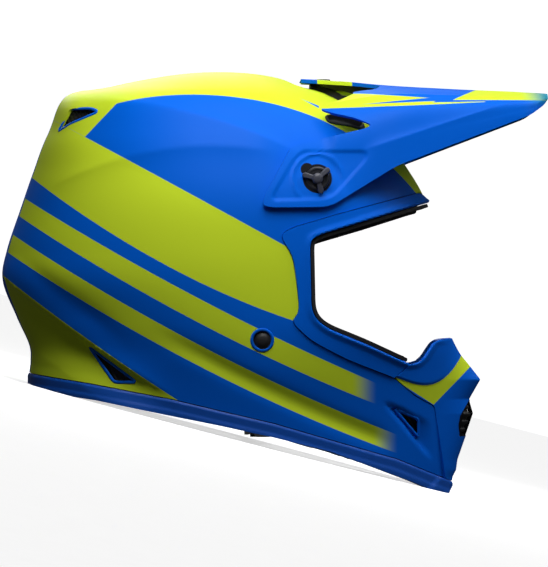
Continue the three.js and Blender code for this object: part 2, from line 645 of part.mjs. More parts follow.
// ---- impact foam and padding ----
const screwPocket = peg(9, -200, 200, ...PIVOT);
const centrePocket = upright(4, 4, THROUGH, CENTRE_SCREW[0], CENTRE_SCREW[1] - 8, 16);
const portZone = skin(-2, GASKET_DEPTH + GAP).intersect(prism(EYEPORT));
const outerFoam = shellPlug(SHELL_WALL + GAP);

function makeImpactLiner() {
  let body = outerFoam.subtract(headPlug(LINER_WALL + GAP)).subtract(prism(LINER_CUT));
  body = body.subtract(prism(LINER_BASE)).subtract(portZone);
  return body.subtract(screwPocket).subtract(centrePocket).subtract(slots);
}
add('impact_liner', makeImpactLiner(), FOAM, 0.95);

function makeChinLiner() {
  const body = outerFoam.subtract(shellPlug(SHELL_WALL + CHIN_LINER_WALL)).intersect(prism(CHIN_LINER));
  const duct = box(100 * KX, 200 * KX, -20 * KY, 20 * KY, -152 * KZ, -120 * KZ);
  const front = box(143 * KX, 220 * KX, -100 * KY, 100 * KY, -220 * KZ, -60 * KZ).subtract(nose.fitted);
  return body.subtract(duct).subtract(slots).subtract(portZone).subtract(front);
}
add('chin_liner', makeChinLiner(), FOAM, 0.95);

function makeComfortLiner() {
  const pad = headPlug(LINER_WALL).subtract(headPlug(0)).subtract(prism(grow(LINER_CUT, 3)));
  return pad.subtract(box(-300, 300, -200, 200, -500, -84 * KZ));
}
add('comfort_liner', makeComfortLiner(), FABRIC, 0.95);

for (const [side, s] of SIDES) {
  const zone = prism(CHEEK).intersect(half(s));
  const soft = headPlug(CHEEK_PAD_WALL).subtract(headPlug(0)).intersect(zone).subtract(slots);
  add(`cheek_pad_${side}`, soft, FABRIC, 0.95);
  const hard = shellPlug(SHELL_WALL + CHIN_LINER_WALL + GAP).subtract(headPlug(CHEEK_PAD_WALL + GAP));
  add(`cheek_pad_base_${side}`, hard.intersect(zone).subtract(slots), FOAM, 0.9);
}
add('neck_roll', outerFoam.subtract(shellPlug(24)).intersect(prism(NECK_ROLL)), FABRIC, 0.95);

// ---- chin strap ----
const hang = (t, k = 0) => [Math.cos(t) * (pinY - k), STRAP_PIN[1] - Math.sin(t) * (STRAP_DROP - k) - 4];
function strapPath(from, to, steps) {
  const list = [];
  for (let i = 0; i <= steps; i += 1) list.push(hang(lerp(from, to, i / steps)));
  return list;
}
function strapEye(s) {
  const tab = box(STRAP_PIN[0] - 7, STRAP_PIN[0] + 7, s * pinY - 1, s * pinY + 1,
    STRAP_PIN[1] - 6, STRAP_PIN[1] + 5);
  return tab.subtract(peg(ANCHOR_PIN_RADIUS + GAP, s * (pinY - 8), s * (pinY + 8), ...STRAP_PIN, 14));
}
const LOOP_RADIUS = 3.4;
const ringAt = Math.PI * 0.36;
function loopEnd(t) {
  return crosswise(LOOP_RADIUS, STRAP_WIDTH, STRAP_PIN[0], ...hang(t), 18);
}
function loopHole(t) {
  return crosswise(D_RING_WIRE + GAP, STRAP_WIDTH + 4, STRAP_PIN[0], ...hang(t), 18);
}
const tLeft = ringAt;
const tRight = ringAt + 0.24;
function makeStrapHalf(s) {
  const path = s > 0 ? strapPath(0, tLeft, 8) : strapPath(Math.PI, tRight, 18);
  const band = webbing(path, STRAP_THICKNESS / 2, strapX0, strapX1);
  const t = s > 0 ? tLeft : tRight;
  return band.add(strapEye(s)).add(loopEnd(t)).subtract(loopHole(t))
    .subtract(peg(ANCHOR_PIN_RADIUS + GAP, s * (pinY - 8), s * (pinY + 8), ...STRAP_PIN, 14));
}
add('strap_left', makeStrapHalf(1), FABRIC, 0.9);
add('strap_right', makeStrapHalf(-1), FABRIC, 0.9);

function makeBuckle() {
  const [ya, za] = hang(tLeft);
  const [yb, zb] = hang(tRight);
  const bar = (y, z) => crosswise(D_RING_WIRE, STRAP_WIDTH + 2 * D_RING_WIRE + 2, STRAP_PIN[0], y, z, 14);
  const link = (s) => {
    const g = new THREE.BoxGeometry(2 * D_RING_WIRE, Math.hypot(yb - ya, zb - za) + 2 * D_RING_WIRE,
      2 * D_RING_WIRE);
    g.rotateX(Math.atan2(zb - za, yb - ya));
    g.translate(STRAP_PIN[0] + s * (STRAP_WIDTH / 2 + 1 + D_RING_WIRE), (ya + yb) / 2, (za + zb) / 2);
    return fromGeometry(g);
  };
  return joinAll([bar(ya, za), bar(yb, zb), link(1), link(-1)]);
}
add('strap_ring', makeBuckle(), STEEL, 0.3, 0.9);

function makeSnap() {
  const [y, z] = hang(Math.PI * 0.62);
  const g = new THREE.CylinderGeometry(5, 6, 2.4, 20);
  g.rotateX(Math.PI / 2);
  g.rotateX(Math.PI);
  g.translate(STRAP_PIN[0], y, z - STRAP_THICKNESS / 2 - 1.9);
  return fromGeometry(g).subtract(webbing(strapPath(Math.PI * 0.8, Math.PI * 0.4, 12),
    STRAP_THICKNESS / 2 + GAP, strapX0 - 2, strapX1 + 2));
}
add('strap_snap', makeSnap(), STEEL, 0.3, 0.9);

// ---- edge trim, shaved flat where the helmet stands ----
const stand = new THREE.Matrix4().makeRotationY((-REST_TILT * Math.PI) / 180);
function lowest(body) {
  const m = body.getMesh();
  const v = new THREE.Vector3();
  let low = Infinity;
  for (let i = 0; i < m.vertProperties.length; i += 3) {
    v.fromArray(m.vertProperties, i).applyMatrix4(stand);
    low = Math.min(low, v.z);
  }
  return low;
}
const trim = makeTrim();
const floorAt = lowest(trim) + FLAT_CUT;
function makeFloorCut() {
  const g = new THREE.BoxGeometry(900, 600, 60);
  g.translate(0, 0, floorAt - 30);
  g.applyMatrix4(stand.clone().invert());
  return fromGeometry(g);
}
add('base_trim', trim.subtract(makeFloorCut()), BLUE, 0.55);

// ---- stand it on the floor, centred ----
for (const mesh of group.children) {
  mesh.geometry.applyMatrix4(stand);
  mesh.geometry.translate(0, 0, -floorAt);
}
const bounds = new THREE.Box3().setFromObject(group);
for (const mesh of group.children) {
  mesh.geometry.translate(-(bounds.min.x + bounds.max.x) / 2, 0, 0);
  mesh.geometry.computeVertexNormals();
}

export default group;
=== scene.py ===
"""Motocross helmet: painted shell, tilting visor, chin bar, padding and chin strap."""

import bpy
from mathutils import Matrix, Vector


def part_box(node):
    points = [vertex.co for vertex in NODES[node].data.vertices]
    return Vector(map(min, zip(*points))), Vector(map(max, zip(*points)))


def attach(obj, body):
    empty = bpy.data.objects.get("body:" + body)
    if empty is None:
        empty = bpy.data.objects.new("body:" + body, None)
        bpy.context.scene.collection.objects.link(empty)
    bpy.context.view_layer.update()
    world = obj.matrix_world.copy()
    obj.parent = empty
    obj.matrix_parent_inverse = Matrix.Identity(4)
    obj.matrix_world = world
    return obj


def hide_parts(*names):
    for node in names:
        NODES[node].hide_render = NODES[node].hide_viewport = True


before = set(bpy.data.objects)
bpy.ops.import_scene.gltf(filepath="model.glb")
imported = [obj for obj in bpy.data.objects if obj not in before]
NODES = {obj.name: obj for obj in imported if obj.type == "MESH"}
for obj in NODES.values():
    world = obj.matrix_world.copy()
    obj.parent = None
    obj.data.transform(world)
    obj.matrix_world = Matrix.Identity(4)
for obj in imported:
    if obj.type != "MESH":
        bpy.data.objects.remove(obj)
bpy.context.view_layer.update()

import math

import bmesh
import bpy
import numpy as np
from mathutils import Matrix, Vector

bl_info = {
    "name": "Motocross helmet",
    "version": (1, 0, 0),
    "blender": (4, 5, 0),
    "location": "View3D > Sidebar > Helmet",
    "description": "Builds a motocross helmet on its packed frame",
    "category": "Add Mesh",
}

# ---- the helmet's own axes: millimetres, x forward, y to the wearer's left, z up as worn ----
REST_TILT = math.radians(14.6)
PIVOT = (66.0, 32.0)
RIVET = (27.0, -82.0)
CENTRE_SCREW = (70.0, 104.0)
KEYHOLE = (58.6, 38.6)
ARM_CLEARANCE = 2.2
VISOR_WALL = 2.4
# The visor paint fills the recess under each thumb screw with black, as painted shade, so that it reads as a
# hole.
SEAT_RADIUS = 10.4          # black recess under each thumb screw
KEYHOLE_RADIUS = 4.6
SCREW_HOLE = 3.4
PLUG_HOLE = 7.1             # radius of the hole round each strap plug
SCOOP_FROM = 45             # brow intakes start this far from the midline
SCREEN_DEPTH = 3.4          # vent screens lie this far under the skin
NOSE_WALL = 0.003
FRAME_WALL = 0.0042
TRIM_WALL = 0.0042
SEAL_WALL = 0.006
BACKING_DEPTH = 2.5
SIDES = {"left": 1, "right": -1}

insert_low, insert_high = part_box("visor_insert_left")
COS, SIN = math.cos(REST_TILT), math.sin(REST_TILT)
SHIFT_X = (insert_low.x + insert_high.x) / 2 - (PIVOT[0] * COS - PIVOT[1] * SIN) / 1000
SHIFT_Z = (insert_low.z + insert_high.z) / 2 - (PIVOT[0] * SIN + PIVOT[1] * COS) / 1000

# front x, front z, rear x, rear z, half width, squareness of the front and of the rear half
SHELL_STATIONS = np.array([
    (-8, 110, -8, 110, 0, 2.0, 2.0),
    (26, 108, -40, 107.5, 42, 2.1, 2.1),
    (58, 100, -80, 100, 75, 2.2, 2.2),
    (88, 86, -112, 90, 97, 2.3, 2.3),
    (112, 66, -128, 64, 111, 2.4, 2.3),
    (131, 41, -138, 38, 120, 2.35, 2.2),
    (145, 16, -147, 12, 125, 2.3, 2.15),
    (154, -16, -157, -18, 126, 2.15, 2.1),
    (162, -48, -160, -40, 125, 2.0, 2.1),
    (170, -81, -150, -66, 122, 1.85, 2.1),
    (173, -108, -141, -86, 118, 1.7, 2.1),
    (172, -140, -140, -98, 113, 1.65, 2.15),
    (170, -172, -141, -108, 109, 1.65, 2.2),
    (167, -205, -140, -124, 106, 1.65, 2.2),
], float)

# outlines seen from the side, x forward and z up
EYEPORT = [(61, -12), (66, -8.5), (100, 2), (135, 12.5), (148, 16.5), (215, 20), (215, -78), (162, -81),
           (151, -82), (147.5, -86), (140.5, -97), (132.5, -99.5), (101, -85), (75, -74.5), (66, -68),
            (62, -60)]
FRAME = [(39, -8.5), (47, -3), (88, 9), (132, 21), (141, 23.5), (148, 16.5), (215, 20), (215, -70),
         (150, -74), (140, -118), (121, -109.4), (88, -96.5), (62, -83), (47, -69), (53.5, -63),
         (51.5, -42), (48.5, -22)]
NOSE = [(121, -109.4), (132.5, -99.5), (140.5, -97), (147.5, -86), (151, -82), (151, -70), (220, -70),
        (220, -200), (158.5, -200), (157.7, -179.3), (149.8, -129.6), (136, -122)]
TRIM = [(-190, -99), (-142, -106), (-96, -113), (-37, -124), (35, -141), (123, -167), (152.5, -179.4),
        (163.7, -184.1), (220, -190), (220, -260), (-190, -260)]
TRIM_CUT = [(-190, -110), (-140, -114), (-122, -120.6), (-91, -125), (-37, -136), (-4, -142.5), (35, -151),
            (75, -161), (133, -183), (158, -194), (220, -216), (220, -320), (-190, -320)]
CHIN_VENT = [(120.5, -131), (138.4, -139), (138.4, -152)]
REAR_LOWER_VENT = [(-96, -87), (-62, -112), (-78, -112)]
REAR_UPPER_VENT = [(-119, 66), (-110, 82.5), (-95, 82.5), (-89, 80), (-110, 71.5)]
BROW_VENT = [(70.7, 77.5), (74, 72), (88.8, 70), (100.3, 67), (100.3, 72.5), (90.4, 76.5), (79, 79)]

# paint edges, seen from the side: each is a gentle curve through a few points
PAINT_EDGES = {
    "panel_bottom": [(-99, 62), (35, -11), (45, -16.5)],
    "band_bottom": [(-138, 34), (-127, 25), (35, -63), (47, -68)],
    "stripe_one_top": [(-145, 20), (-42, -40), (35, -79), (101, -110)],
    "stripe_one_bottom": [(-148, 6.5), (-71, -40), (35, -96.5), (109, -128)],
    "stripe_two_top": [(-152.5, -6.5), (-99, -40), (35, -111.5), (116, -147)],
    "stripe_two_bottom": [(-155.5, -19.5), (-124, -40), (35, -126), (123, -163)],
    "wing_top": [(-161, -34), (-153, -41), (-96, -82), (-37, -122)],
    "panel_top": [(-76, 86), (-60, 88.5), (-3, 91), (35, 86), (47, 82.5), (71, 73), (83, 65), (122, 41),
                  (136, 22)],
    "crown_ridge": [(-71, 86), (-18, 76), (35, 58)],
    "temple_crease": [(-120, 28), (-72, 46), (-33, 53), (35, 50)],
    "nose_band_top": [(118.3, -107.6), (132.2, -112.8), (144.2, -114.3), (152.6, -112.5), (161.8, -105.4),
                      (169.6, -93.7)],
}
EDGE_DEGREES = {"panel_top": 4, "nose_band_top": 3}


class HelmetSizes(bpy.types.PropertyGroup):
    laminate: bpy.props.FloatProperty(name="Laminate", description="Thickness of the shell wall",
                                      default=0.0022, unit="LENGTH")
    seam: bpy.props.FloatProperty(name="Seam", description="Air gap along the panel seams",
                                  default=0.0006, unit="LENGTH")
    edge_radius: bpy.props.FloatProperty(name="Edge radius", description="Rounding of moulded edges",
                                         default=0.0007, unit="LENGTH")
    frame_proud: bpy.props.FloatProperty(name="Frame height",
                                         description="How far the eyeport frame stands out",
                                         default=0.0012, unit="LENGTH")
    grid: bpy.props.FloatProperty(name="Surface step", description="Spacing of the surface grid",
                                  default=0.0028, unit="LENGTH")


def colour_prop(name, value):
    return bpy.props.FloatVectorProperty(name=name, description=name + " colour", default=value, size=3,
                                         subtype="COLOR", min=0, max=1)


class HelmetColours(bpy.types.PropertyGroup):
    blue: colour_prop("Shell blue", (0.0, 0.125, 0.72))
    yellow: colour_prop("Signal yellow", (0.64, 0.82, 0.03))
    trim: colour_prop("Trim blue", (0.0, 0.085, 0.5))
    teal: colour_prop("Peak teal", (0.01, 0.28, 0.45))
    black: colour_prop("Moulded black", (0.008, 0.008, 0.01))
    screw: colour_prop("Screw grey", (0.03, 0.032, 0.045))
    fabric: colour_prop("Lining", (0.010, 0.010, 0.012))
    steel: colour_prop("Steel", (0.55, 0.56, 0.58))


# ---- surface maths ----
def smooth(x, low, high):
    t = np.clip((x - low) / (high - low), 0, 1)
    return t * t * (3 - 2 * t)


def spline(rows, t):
    """Rows read as a smooth curve, closed over the crown so that the pole has no point."""
    first = rows[1][[2, 3, 0, 1, 4, 5, 6]] * np.array([1, 1, 1, 1, -1, 1, 1])
    whole = np.vstack([first, rows, 2 * rows[-1] - rows[-2]])
    n = len(rows) - 1
    s = np.clip(t, 0, 1) * n
    i = np.minimum(s.astype(int), n - 1)
    f = (s - i)[..., None]
    a, b, c, d = whole[i], whole[i + 1], whole[i + 2], whole[i + 3]
    return 0.5 * (2 * b + (c - a) * f + (2 * a - 5 * b + 4 * c - d) * f**2 + (3 * b - a - 3 * c + d) * f**3)


def ring_points(rows, v, angle):
    r = spline(rows, v)
    c, s = np.cos(angle), np.sin(angle)
    n = np.where(c > 0, r[..., 5], r[..., 6])
    along = np.sign(c) * np.abs(c) ** (2 / n)
    side = np.sign(s) * np.abs(s) ** (2 / n)
    t = 0.5 + 0.5 * along
    x = r[..., 2] + (r[..., 0] - r[..., 2]) * t
    z = r[..., 3] + (r[..., 1] - r[..., 3]) * t
    return np.stack([x, r[..., 4] * side, z], -1)


def ring_normals(rows, v, angle):
    v = np.maximum(v, 0.012)
    du = ring_points(rows, v, angle + 0.01) - ring_points(rows, v, angle - 0.01)
    dv = ring_points(rows, np.minimum(v + 0.003, 1), angle) - ring_points(rows, v - 0.003, angle)
    n = np.cross(dv, du)
    return n / np.maximum(np.linalg.norm(n, axis=-1, keepdims=True), 1e-9)


def edge_curve(name):
    """The paint edge as a polynomial, so that the mesh relief and the paint share it."""
    x, z = np.array(PAINT_EDGES[name], float).T
    return np.polyfit(x / 100, z / 100, EDGE_DEGREES.get(name, 2))


def above(name, x, z):
    return z - 100 * np.polyval(edge_curve(name), x / 100)


def relief(p):
    """How far the shell stands off its plain form: ridges, the rear wing and the chin groove."""
    x, y, z = p[..., 0], np.abs(p[..., 1]), p[..., 2]
    side = smooth(y, 12, 45)
    d = above("crown_ridge", x, z)
    out = 2.8 * np.exp(-np.abs(d) / np.where(d > 0, 6, 22)) * smooth(x, -100, -60) * (1 - smooth(x, 25, 60))
    d = above("temple_crease", x, z)
    out += 2.0 * np.exp(-np.abs(d) / np.where(d > 0, 22, 9)) * smooth(x, -135, -95) * (1 - smooth(x, 10, 45))
    d = above("wing_top", x, z)
    wing = 1 - smooth(x, -70, -30)
    depth = np.clip(-d / 34, 0, 1)
    crest, hollow = 3.6, 2.0
    out += wing * np.where(d > 0, crest * np.exp(-np.maximum(d, 0) / 14),
                           crest - (crest + hollow - crest * depth) * np.sin(math.pi * depth**0.6))
    d = above("stripe_two_top", x, z) + 8
    out -= 2.2 * np.exp(-(d / 7) ** 2) * smooth(x, -60, 0) * (1 - smooth(x, 105, 125))
    d = above("wing_top", x, z) - 18
    out -= 1.4 * np.exp(-(d / 9) ** 2) * smooth(x, -150, -125) * (1 - smooth(x, -95, -60))
    d = ((x - 111) * 42 + (z + 124) * 34.5) / 54.4
    inner = np.minimum(d, (-(z + 124) * 29 - (x - 111) * 14) / 32.2)
    out -= 2.4 * smooth(inner, 0, 2) * (1 - smooth(d, 4, 20)) * (1 - smooth(x, 142, 150))
    shoulder = 3.4 * np.exp(-((x + 113) ** 2 + (z - 90) ** 2) / 230) * (1 - smooth(y, 50, 85))
    seat = 1.7 * np.exp(-((x - 54) / 9) ** 2) * (1 - smooth(y, 27, 38)) * smooth(z, 80, 90)
    return out * side + shoulder - seat


def shell_points(v, angle, outset=0.0):
    base = ring_points(SHELL_STATIONS, v, angle)
    n = ring_normals(SHELL_STATIONS, v, angle)
    n[v < 0.012] = (0, 0, 1)
    return base + n * (outset + relief(base))[..., None]


def shell_y(x, z):
    """Half width of the plain shell form at points seen from the side."""
    x, z = np.asarray(x, float), np.asarray(z, float)
    low, high = np.full(x.shape, 0.02), np.ones(x.shape)
    for _ in range(30):
        v = (low + high) / 2
        r = spline(SHELL_STATIONS, v)
        t = np.clip((x - r[..., 2]) / (r[..., 0] - r[..., 2]), 0, 1)
        under = r[..., 3] + (r[..., 1] - r[..., 3]) * t > z
        low, high = np.where(under, v, low), np.where(under, high, v)
    n = np.where(t > 0.5, r[..., 5], r[..., 6])
    return r[..., 4] * (1 - np.abs(2 * t - 1) ** n) ** (1 / n)


def skin_y(x, z):
    """Half width of the shell with its ridges."""
    y = shell_y(x, z)
    return y + relief(np.stack([x, y, z], -1))


def spread(path, step):
    """A closed path as x and z, with points about one step apart."""
    loop = np.vstack([path, path[:1]])
    along = np.concatenate([[0], np.cumsum(np.linalg.norm(np.diff(loop, axis=0), axis=1))])
    where = np.linspace(0, along[-1], max(int(along[-1] / step), 12), endpoint=False)
    return np.interp(where, along, loop[:, 0]), np.interp(where, along, loop[:, 1])


def fillet(points, radius, steps=4):
    """A closed outline with its corners rounded."""
    p = np.array(points, float)
    out = []
    for i, corner in enumerate(p):
        back, ahead = p[i - 1] - corner, p[(i + 1) % len(p)] - corner
        a = corner + back * min(radius / np.linalg.norm(back), 0.45)
        b = corner + ahead * min(radius / np.linalg.norm(ahead), 0.45)
        for k in range(steps + 1):
            t = k / steps
            out.append((1 - t) ** 2 * a + 2 * t * (1 - t) * corner + t * t * b)
    return np.array(out)


def inside(x, z, outline):
    """Signed distance to a closed outline, positive inside."""
    p = np.asarray(outline, float)
    q = np.roll(p, -1, axis=0)
    best = np.full(x.shape, 1e9)
    hit = np.zeros(x.shape, bool)
    for (ax, az), (bx, bz) in zip(p, q):
        ex, ez = bx - ax, bz - az
        t = np.clip(((x - ax) * ex + (z - az) * ez) / max(ex * ex + ez * ez, 1e-9), 0, 1)
        best = np.minimum(best, np.hypot(x - ax - t * ex, z - az - t * ez))
        if ez:
            cross = ((az > z) != (bz > z)) & (x < ax + (z - az) * ex / ez)
            hit ^= cross
    return np.where(hit, best, -best)


def to_row(p):
    """Worn millimetres to row-frame metres."""
    p = np.asarray(p, float)
    x, y, z = p[..., 0] / 1000, p[..., 1] / 1000, p[..., 2] / 1000
    return np.stack([x * COS - z * SIN + SHIFT_X, y, x * SIN + z * COS + SHIFT_Z], -1)


def new_object(name, verts, faces, smooth_faces=True):
    mesh = bpy.data.meshes.new(name)
    mesh.from_pydata([tuple(v) for v in verts], [], [tuple(f) for f in faces])
    mesh.validate()
    mesh.polygons.foreach_set("use_smooth", [smooth_faces] * len(mesh.polygons))
    obj = bpy.data.objects.new(name, mesh)
    bpy.context.scene.collection.objects.link(obj)
    return obj


def mesh_object(name, bm):
    """A bmesh as a new object."""
    mesh = bpy.data.meshes.new(name)
    bm.to_mesh(mesh)
    bm.free()
    obj = bpy.data.objects.new(name, mesh)
    bpy.context.scene.collection.objects.link(obj)
    return obj


def bridge(bm, rings, ends=True):
    """Faces between closed rings of points, with both ends filled or the last ring joined to the first."""
    for a, b in zip(rings, rings[1:] if ends else rings[1:] + rings[:1]):
        for k in range(len(a)):
            n = (k + 1) % len(a)
            bm.faces.new((a[k], a[n], b[n], b[k]))
    if ends:
        bm.faces.new(rings[0])
        bm.faces.new(rings[-1])


def clipped_grid(name, surface, us, vs, keep, closed=False, pole=False):
    """A grid of surface(v, u) trimmed exactly where keep(points) turns negative."""
    uu, vv = np.meshgrid(us, vs)
    p = surface(vv, uu)
    f = keep(p)
    cell = np.median(np.linalg.norm(np.diff(p, axis=0), axis=-1))
    eu, ev = 1e-3, 1e-4
    for _ in range(3):
        near = (np.abs(f) < 0.4 * cell) & (vv > vs[1])
        if not near.any():
            break
        u0, v0, f0 = uu[near], vv[near], f[near]
        base = p[near]
        pu, pv = surface(v0, u0 + eu), surface(np.minimum(v0 + ev, 1), u0)
        su = np.linalg.norm(pu - base, axis=-1) / eu + 1e-9
        sv = np.linalg.norm(pv - base, axis=-1) / ev + 1e-9
        gu, gv = (keep(pu) - f0) / eu / su, (keep(pv) - f0) / ev / sv
        k = np.clip(f0 / np.maximum(gu**2 + gv**2, 0.05), -0.6 * cell, 0.6 * cell)
        uu[near] = u0 - k * gu / su
        vv[near] = np.clip(v0 - k * gv / sv, 0, 1)
        p[near] = surface(vv[near], uu[near])
        f[near] = keep(p[near])
    f[np.abs(f) < 0.06 * cell] = 0
    rows, cols = f.shape
    points = list(p.reshape(-1, 3))
    flat = f.reshape(-1)
    cache = {}

    def crossing(a, b):
        key = (min(a, b), max(a, b))
        if key not in cache:
            t = flat[key[0]] / (flat[key[0]] - flat[key[1]])
            cache[key] = len(points)
            points.append(points[key[0]] * (1 - t) + points[key[1]] * t)
        return cache[key]

    faces = []
    for i in range(rows - 1):
        for j in range(cols if closed else cols - 1):
            k = (j + 1) % cols
            quad = (i * cols + j, (i + 1) * cols + j, (i + 1) * cols + k, i * cols + k)
            if pole and i == 0:
                quad = (0, cols + j, cols + k)
            values = [flat[q] for q in quad]
            if max(values) <= 0:
                continue
            if min(values) >= 0:
                faces.append(quad)
                continue
            loop = []
            for a, b in zip(quad, quad[1:] + quad[:1]):
                if flat[a] >= 0:
                    loop.append(a)
                if flat[a] * flat[b] < 0:
                    loop.append(crossing(a, b))
            if len(loop) > 2:
                faces.append(tuple(loop))
    used = sorted({q for face in faces for q in face})
    index = {q: n for n, q in enumerate(used)}
    verts = to_row(np.array([points[q] for q in used]))
    return new_object(name, verts, [[index[q] for q in face] for face in faces])


def thicken(obj, wall, edge, segments=2, offset=-1):
    solid = obj.modifiers.new("Wall", "SOLIDIFY")
    solid.thickness = wall
    solid.offset = offset
    if edge:
        bevel = obj.modifiers.new("Edge", "BEVEL")
        bevel.width = edge
        bevel.segments = segments
        bevel.limit_method = "ANGLE"
        bevel.angle_limit = math.radians(50)
        bevel.harden_normals = True
    return obj


def finish_piece(obj, body, slot, material, *nodes):
    if not obj.data.polygons:
        raise RuntimeError(obj.name + " has no faces")
    obj.data.materials.clear()
    obj.data.materials.append(material)
    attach(obj, body)
    if nodes:
        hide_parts(*nodes)
    return obj


# ---- materials ----
class Graph:
    """A small helper that adds nodes to one material and links them."""

    def __init__(self, name):
        self.material = bpy.data.materials.new(name)
        self.material.use_nodes = True
        self.nodes = self.material.node_tree.nodes
        self.links = self.material.node_tree.links
        self.shader = self.nodes["Principled BSDF"]

    def add(self, kind, **values):
        node = self.nodes.new(kind)
        for key, value in values.items():
            setattr(node, key, value)
        return node

    def link(self, source, target):
        self.links.new(source, target)

    def math(self, operation, a, b=0.0, clamp=False):
        node = self.add("ShaderNodeMath", operation=operation, use_clamp=clamp)
        for socket, value in zip(node.inputs, (a, b)):
            if isinstance(value, (int, float)):
                socket.default_value = value
            else:
                self.link(value, socket)
        return node.outputs[0]

    def ramp(self, value, low, high):
        """0 below low, 1 above high."""
        node = self.add("ShaderNodeMapRange", interpolation_type="SMOOTHSTEP")
        node.inputs["From Min"].default_value = low
        node.inputs["From Max"].default_value = high
        self.link(value, node.inputs["Value"])
        return node.outputs["Result"]

    def mix(self, factor, a, b):
        node = self.add("ShaderNodeMix", data_type="RGBA")
        for socket, value in ((node.inputs["Factor"], factor), (node.inputs["A"], a), (node.inputs["B"], b)):
            if isinstance(value, bpy.types.NodeSocket):
                self.link(value, socket)
            elif isinstance(value, float):
                socket.default_value = value
            else:
                socket.default_value = (*value, 1.0)
        return node.outputs["Result"]

    def noise(self, scale, detail=3.0, rough=0.5, vector=None, stretch=None):
        node = self.add("ShaderNodeTexNoise")
        node.inputs["Scale"].default_value = scale
        node.inputs["Detail"].default_value = detail
        node.inputs["Roughness"].default_value = rough
        vector = vector or self.place()
        if stretch:
            mapping = self.add("ShaderNodeMapping")
            mapping.inputs["Scale"].default_value = stretch
            self.link(vector, mapping.inputs["Vector"])
            vector = mapping.outputs[0]
        self.link(vector, node.inputs["Vector"])
        return node.outputs["Fac"]

    def place(self):
        """Row-frame position, in metres."""
        if not hasattr(self, "_place"):
            self._place = self.add("ShaderNodeTexCoord").outputs["Object"]
        return self._place

    def worn(self):
        """x, y, z as worn, in hundreds of millimetres."""
        if not hasattr(self, "_worn"):
            move = self.add("ShaderNodeVectorMath", operation="SUBTRACT")
            move.inputs[1].default_value = (SHIFT_X, 0, SHIFT_Z)
            self.link(self.place(), move.inputs[0])
            turn = self.add("ShaderNodeVectorRotate", rotation_type="Y_AXIS")
            turn.inputs["Angle"].default_value = REST_TILT
            self.link(move.outputs[0], turn.inputs["Vector"])
            scale = self.add("ShaderNodeVectorMath", operation="SCALE")
            scale.inputs["Scale"].default_value = 10
            self.link(turn.outputs[0], scale.inputs[0])
            split = self.add("ShaderNodeSeparateXYZ")
            self.link(scale.outputs[0], split.inputs[0])
            self._worn = split.outputs["X"], split.outputs["Y"], split.outputs["Z"]
        return self._worn

    def over_edge(self, name, soft=0.003):
        """1 above a paint edge, 0 below it."""
        x, _, z = self.worn()
        first, *rest = edge_curve(name)
        value = self.math("ADD", float(first), 0.0)
        for k in rest:
            value = self.math("ADD", self.math("MULTIPLY", value, x), float(k))
        return self.ramp(self.math("SUBTRACT", z, value), -soft, soft)

    def over_line(self, a, b, soft=0.003, axes=(0, 2)):
        """1 on the left of the straight line from a to b, both in millimetres."""
        u, w = self.worn()[axes[0]], self.worn()[axes[1]]
        (ax, az), (bx, bz) = a, b
        size = math.hypot(bx - ax, bz - az)
        nx, nz = -(bz - az) / size, (bx - ax) / size
        d = self.math("ADD", self.math("MULTIPLY", u, nx), self.math("MULTIPLY", w, nz))
        return self.ramp(self.math("SUBTRACT", d, (ax * nx + az * nz) / 100), -soft, soft)

    def disc(self, centre, radius, soft=0.003):
        """1 inside a circle seen from the side, in millimetres."""
        x, _, z = self.worn()
        dx = self.math("SUBTRACT", x, centre[0] / 100)
        dz = self.math("SUBTRACT", z, centre[1] / 100)
        d = self.math("SQRT", self.math("ADD", self.math("MULTIPLY", dx, dx), self.math("MULTIPLY", dz, dz)))
        return self.no(self.ramp(d, radius / 100 - soft, radius / 100 + soft))

    def both(self, *masks):
        value = masks[0]
        for mask in masks[1:]:
            value = self.math("MULTIPLY", value, mask)
        return value

    def no(self, mask):
        return self.math("SUBTRACT", 1.0, mask)

    def surface(self, colour, roughness, bump=None, depth=0.0002, vary=0.05, metallic=0.0, sheen=0.0,
                specular=0.5, coat=0.0):
        """Finishes the material: colour, roughness that varies a little, and bump."""
        s = self.shader
        if isinstance(colour, bpy.types.NodeSocket):
            tint = colour
        else:
            dull, bright = tuple(c * 0.9 for c in colour), tuple(min(c * 1.1, 1) for c in colour)
            tint = self.mix(self.noise(60, 2), dull, bright)
        self.link(tint, s.inputs["Base Color"])
        rough = self.add("ShaderNodeMapRange")
        rough.inputs["To Min"].default_value = max(roughness - vary, 0)
        rough.inputs["To Max"].default_value = min(roughness + vary, 1)
        self.link(self.noise(25, 4), rough.inputs["Value"])
        self.link(rough.outputs["Result"], s.inputs["Roughness"])
        s.inputs["Metallic"].default_value = metallic
        s.inputs["Specular IOR Level"].default_value = specular
        s.inputs["Sheen Weight"].default_value = sheen
        s.inputs["Sheen Roughness"].default_value = 0.4
        s.inputs["Coat Weight"].default_value = coat
        s.inputs["Coat Roughness"].default_value = 0.35
        if bump is not None:
            node = self.add("ShaderNodeBump")
            node.inputs["Strength"].default_value = 1.0
            node.inputs["Distance"].default_value = depth
            self.link(bump, node.inputs["Height"])
            self.link(node.outputs[0], s.inputs["Normal"])
        return self.material


MATERIALS = {}


def material(name):
    if name not in MATERIALS:
        MATERIALS[name] = MAKERS[name](bpy.context.scene.helmet_colours)
    return MATERIALS[name]


def orange_peel(g):
    """The faint texture of sprayed satin paint."""
    return g.math("ADD", g.math("MULTIPLY", g.noise(900, 2), 0.6), g.noise(90, 2))


def paint(g, colour):
    """Sprayed satin paint."""
    return g.surface(colour, 0.46, orange_peel(g), 0.00003, 0.03, specular=0.08)


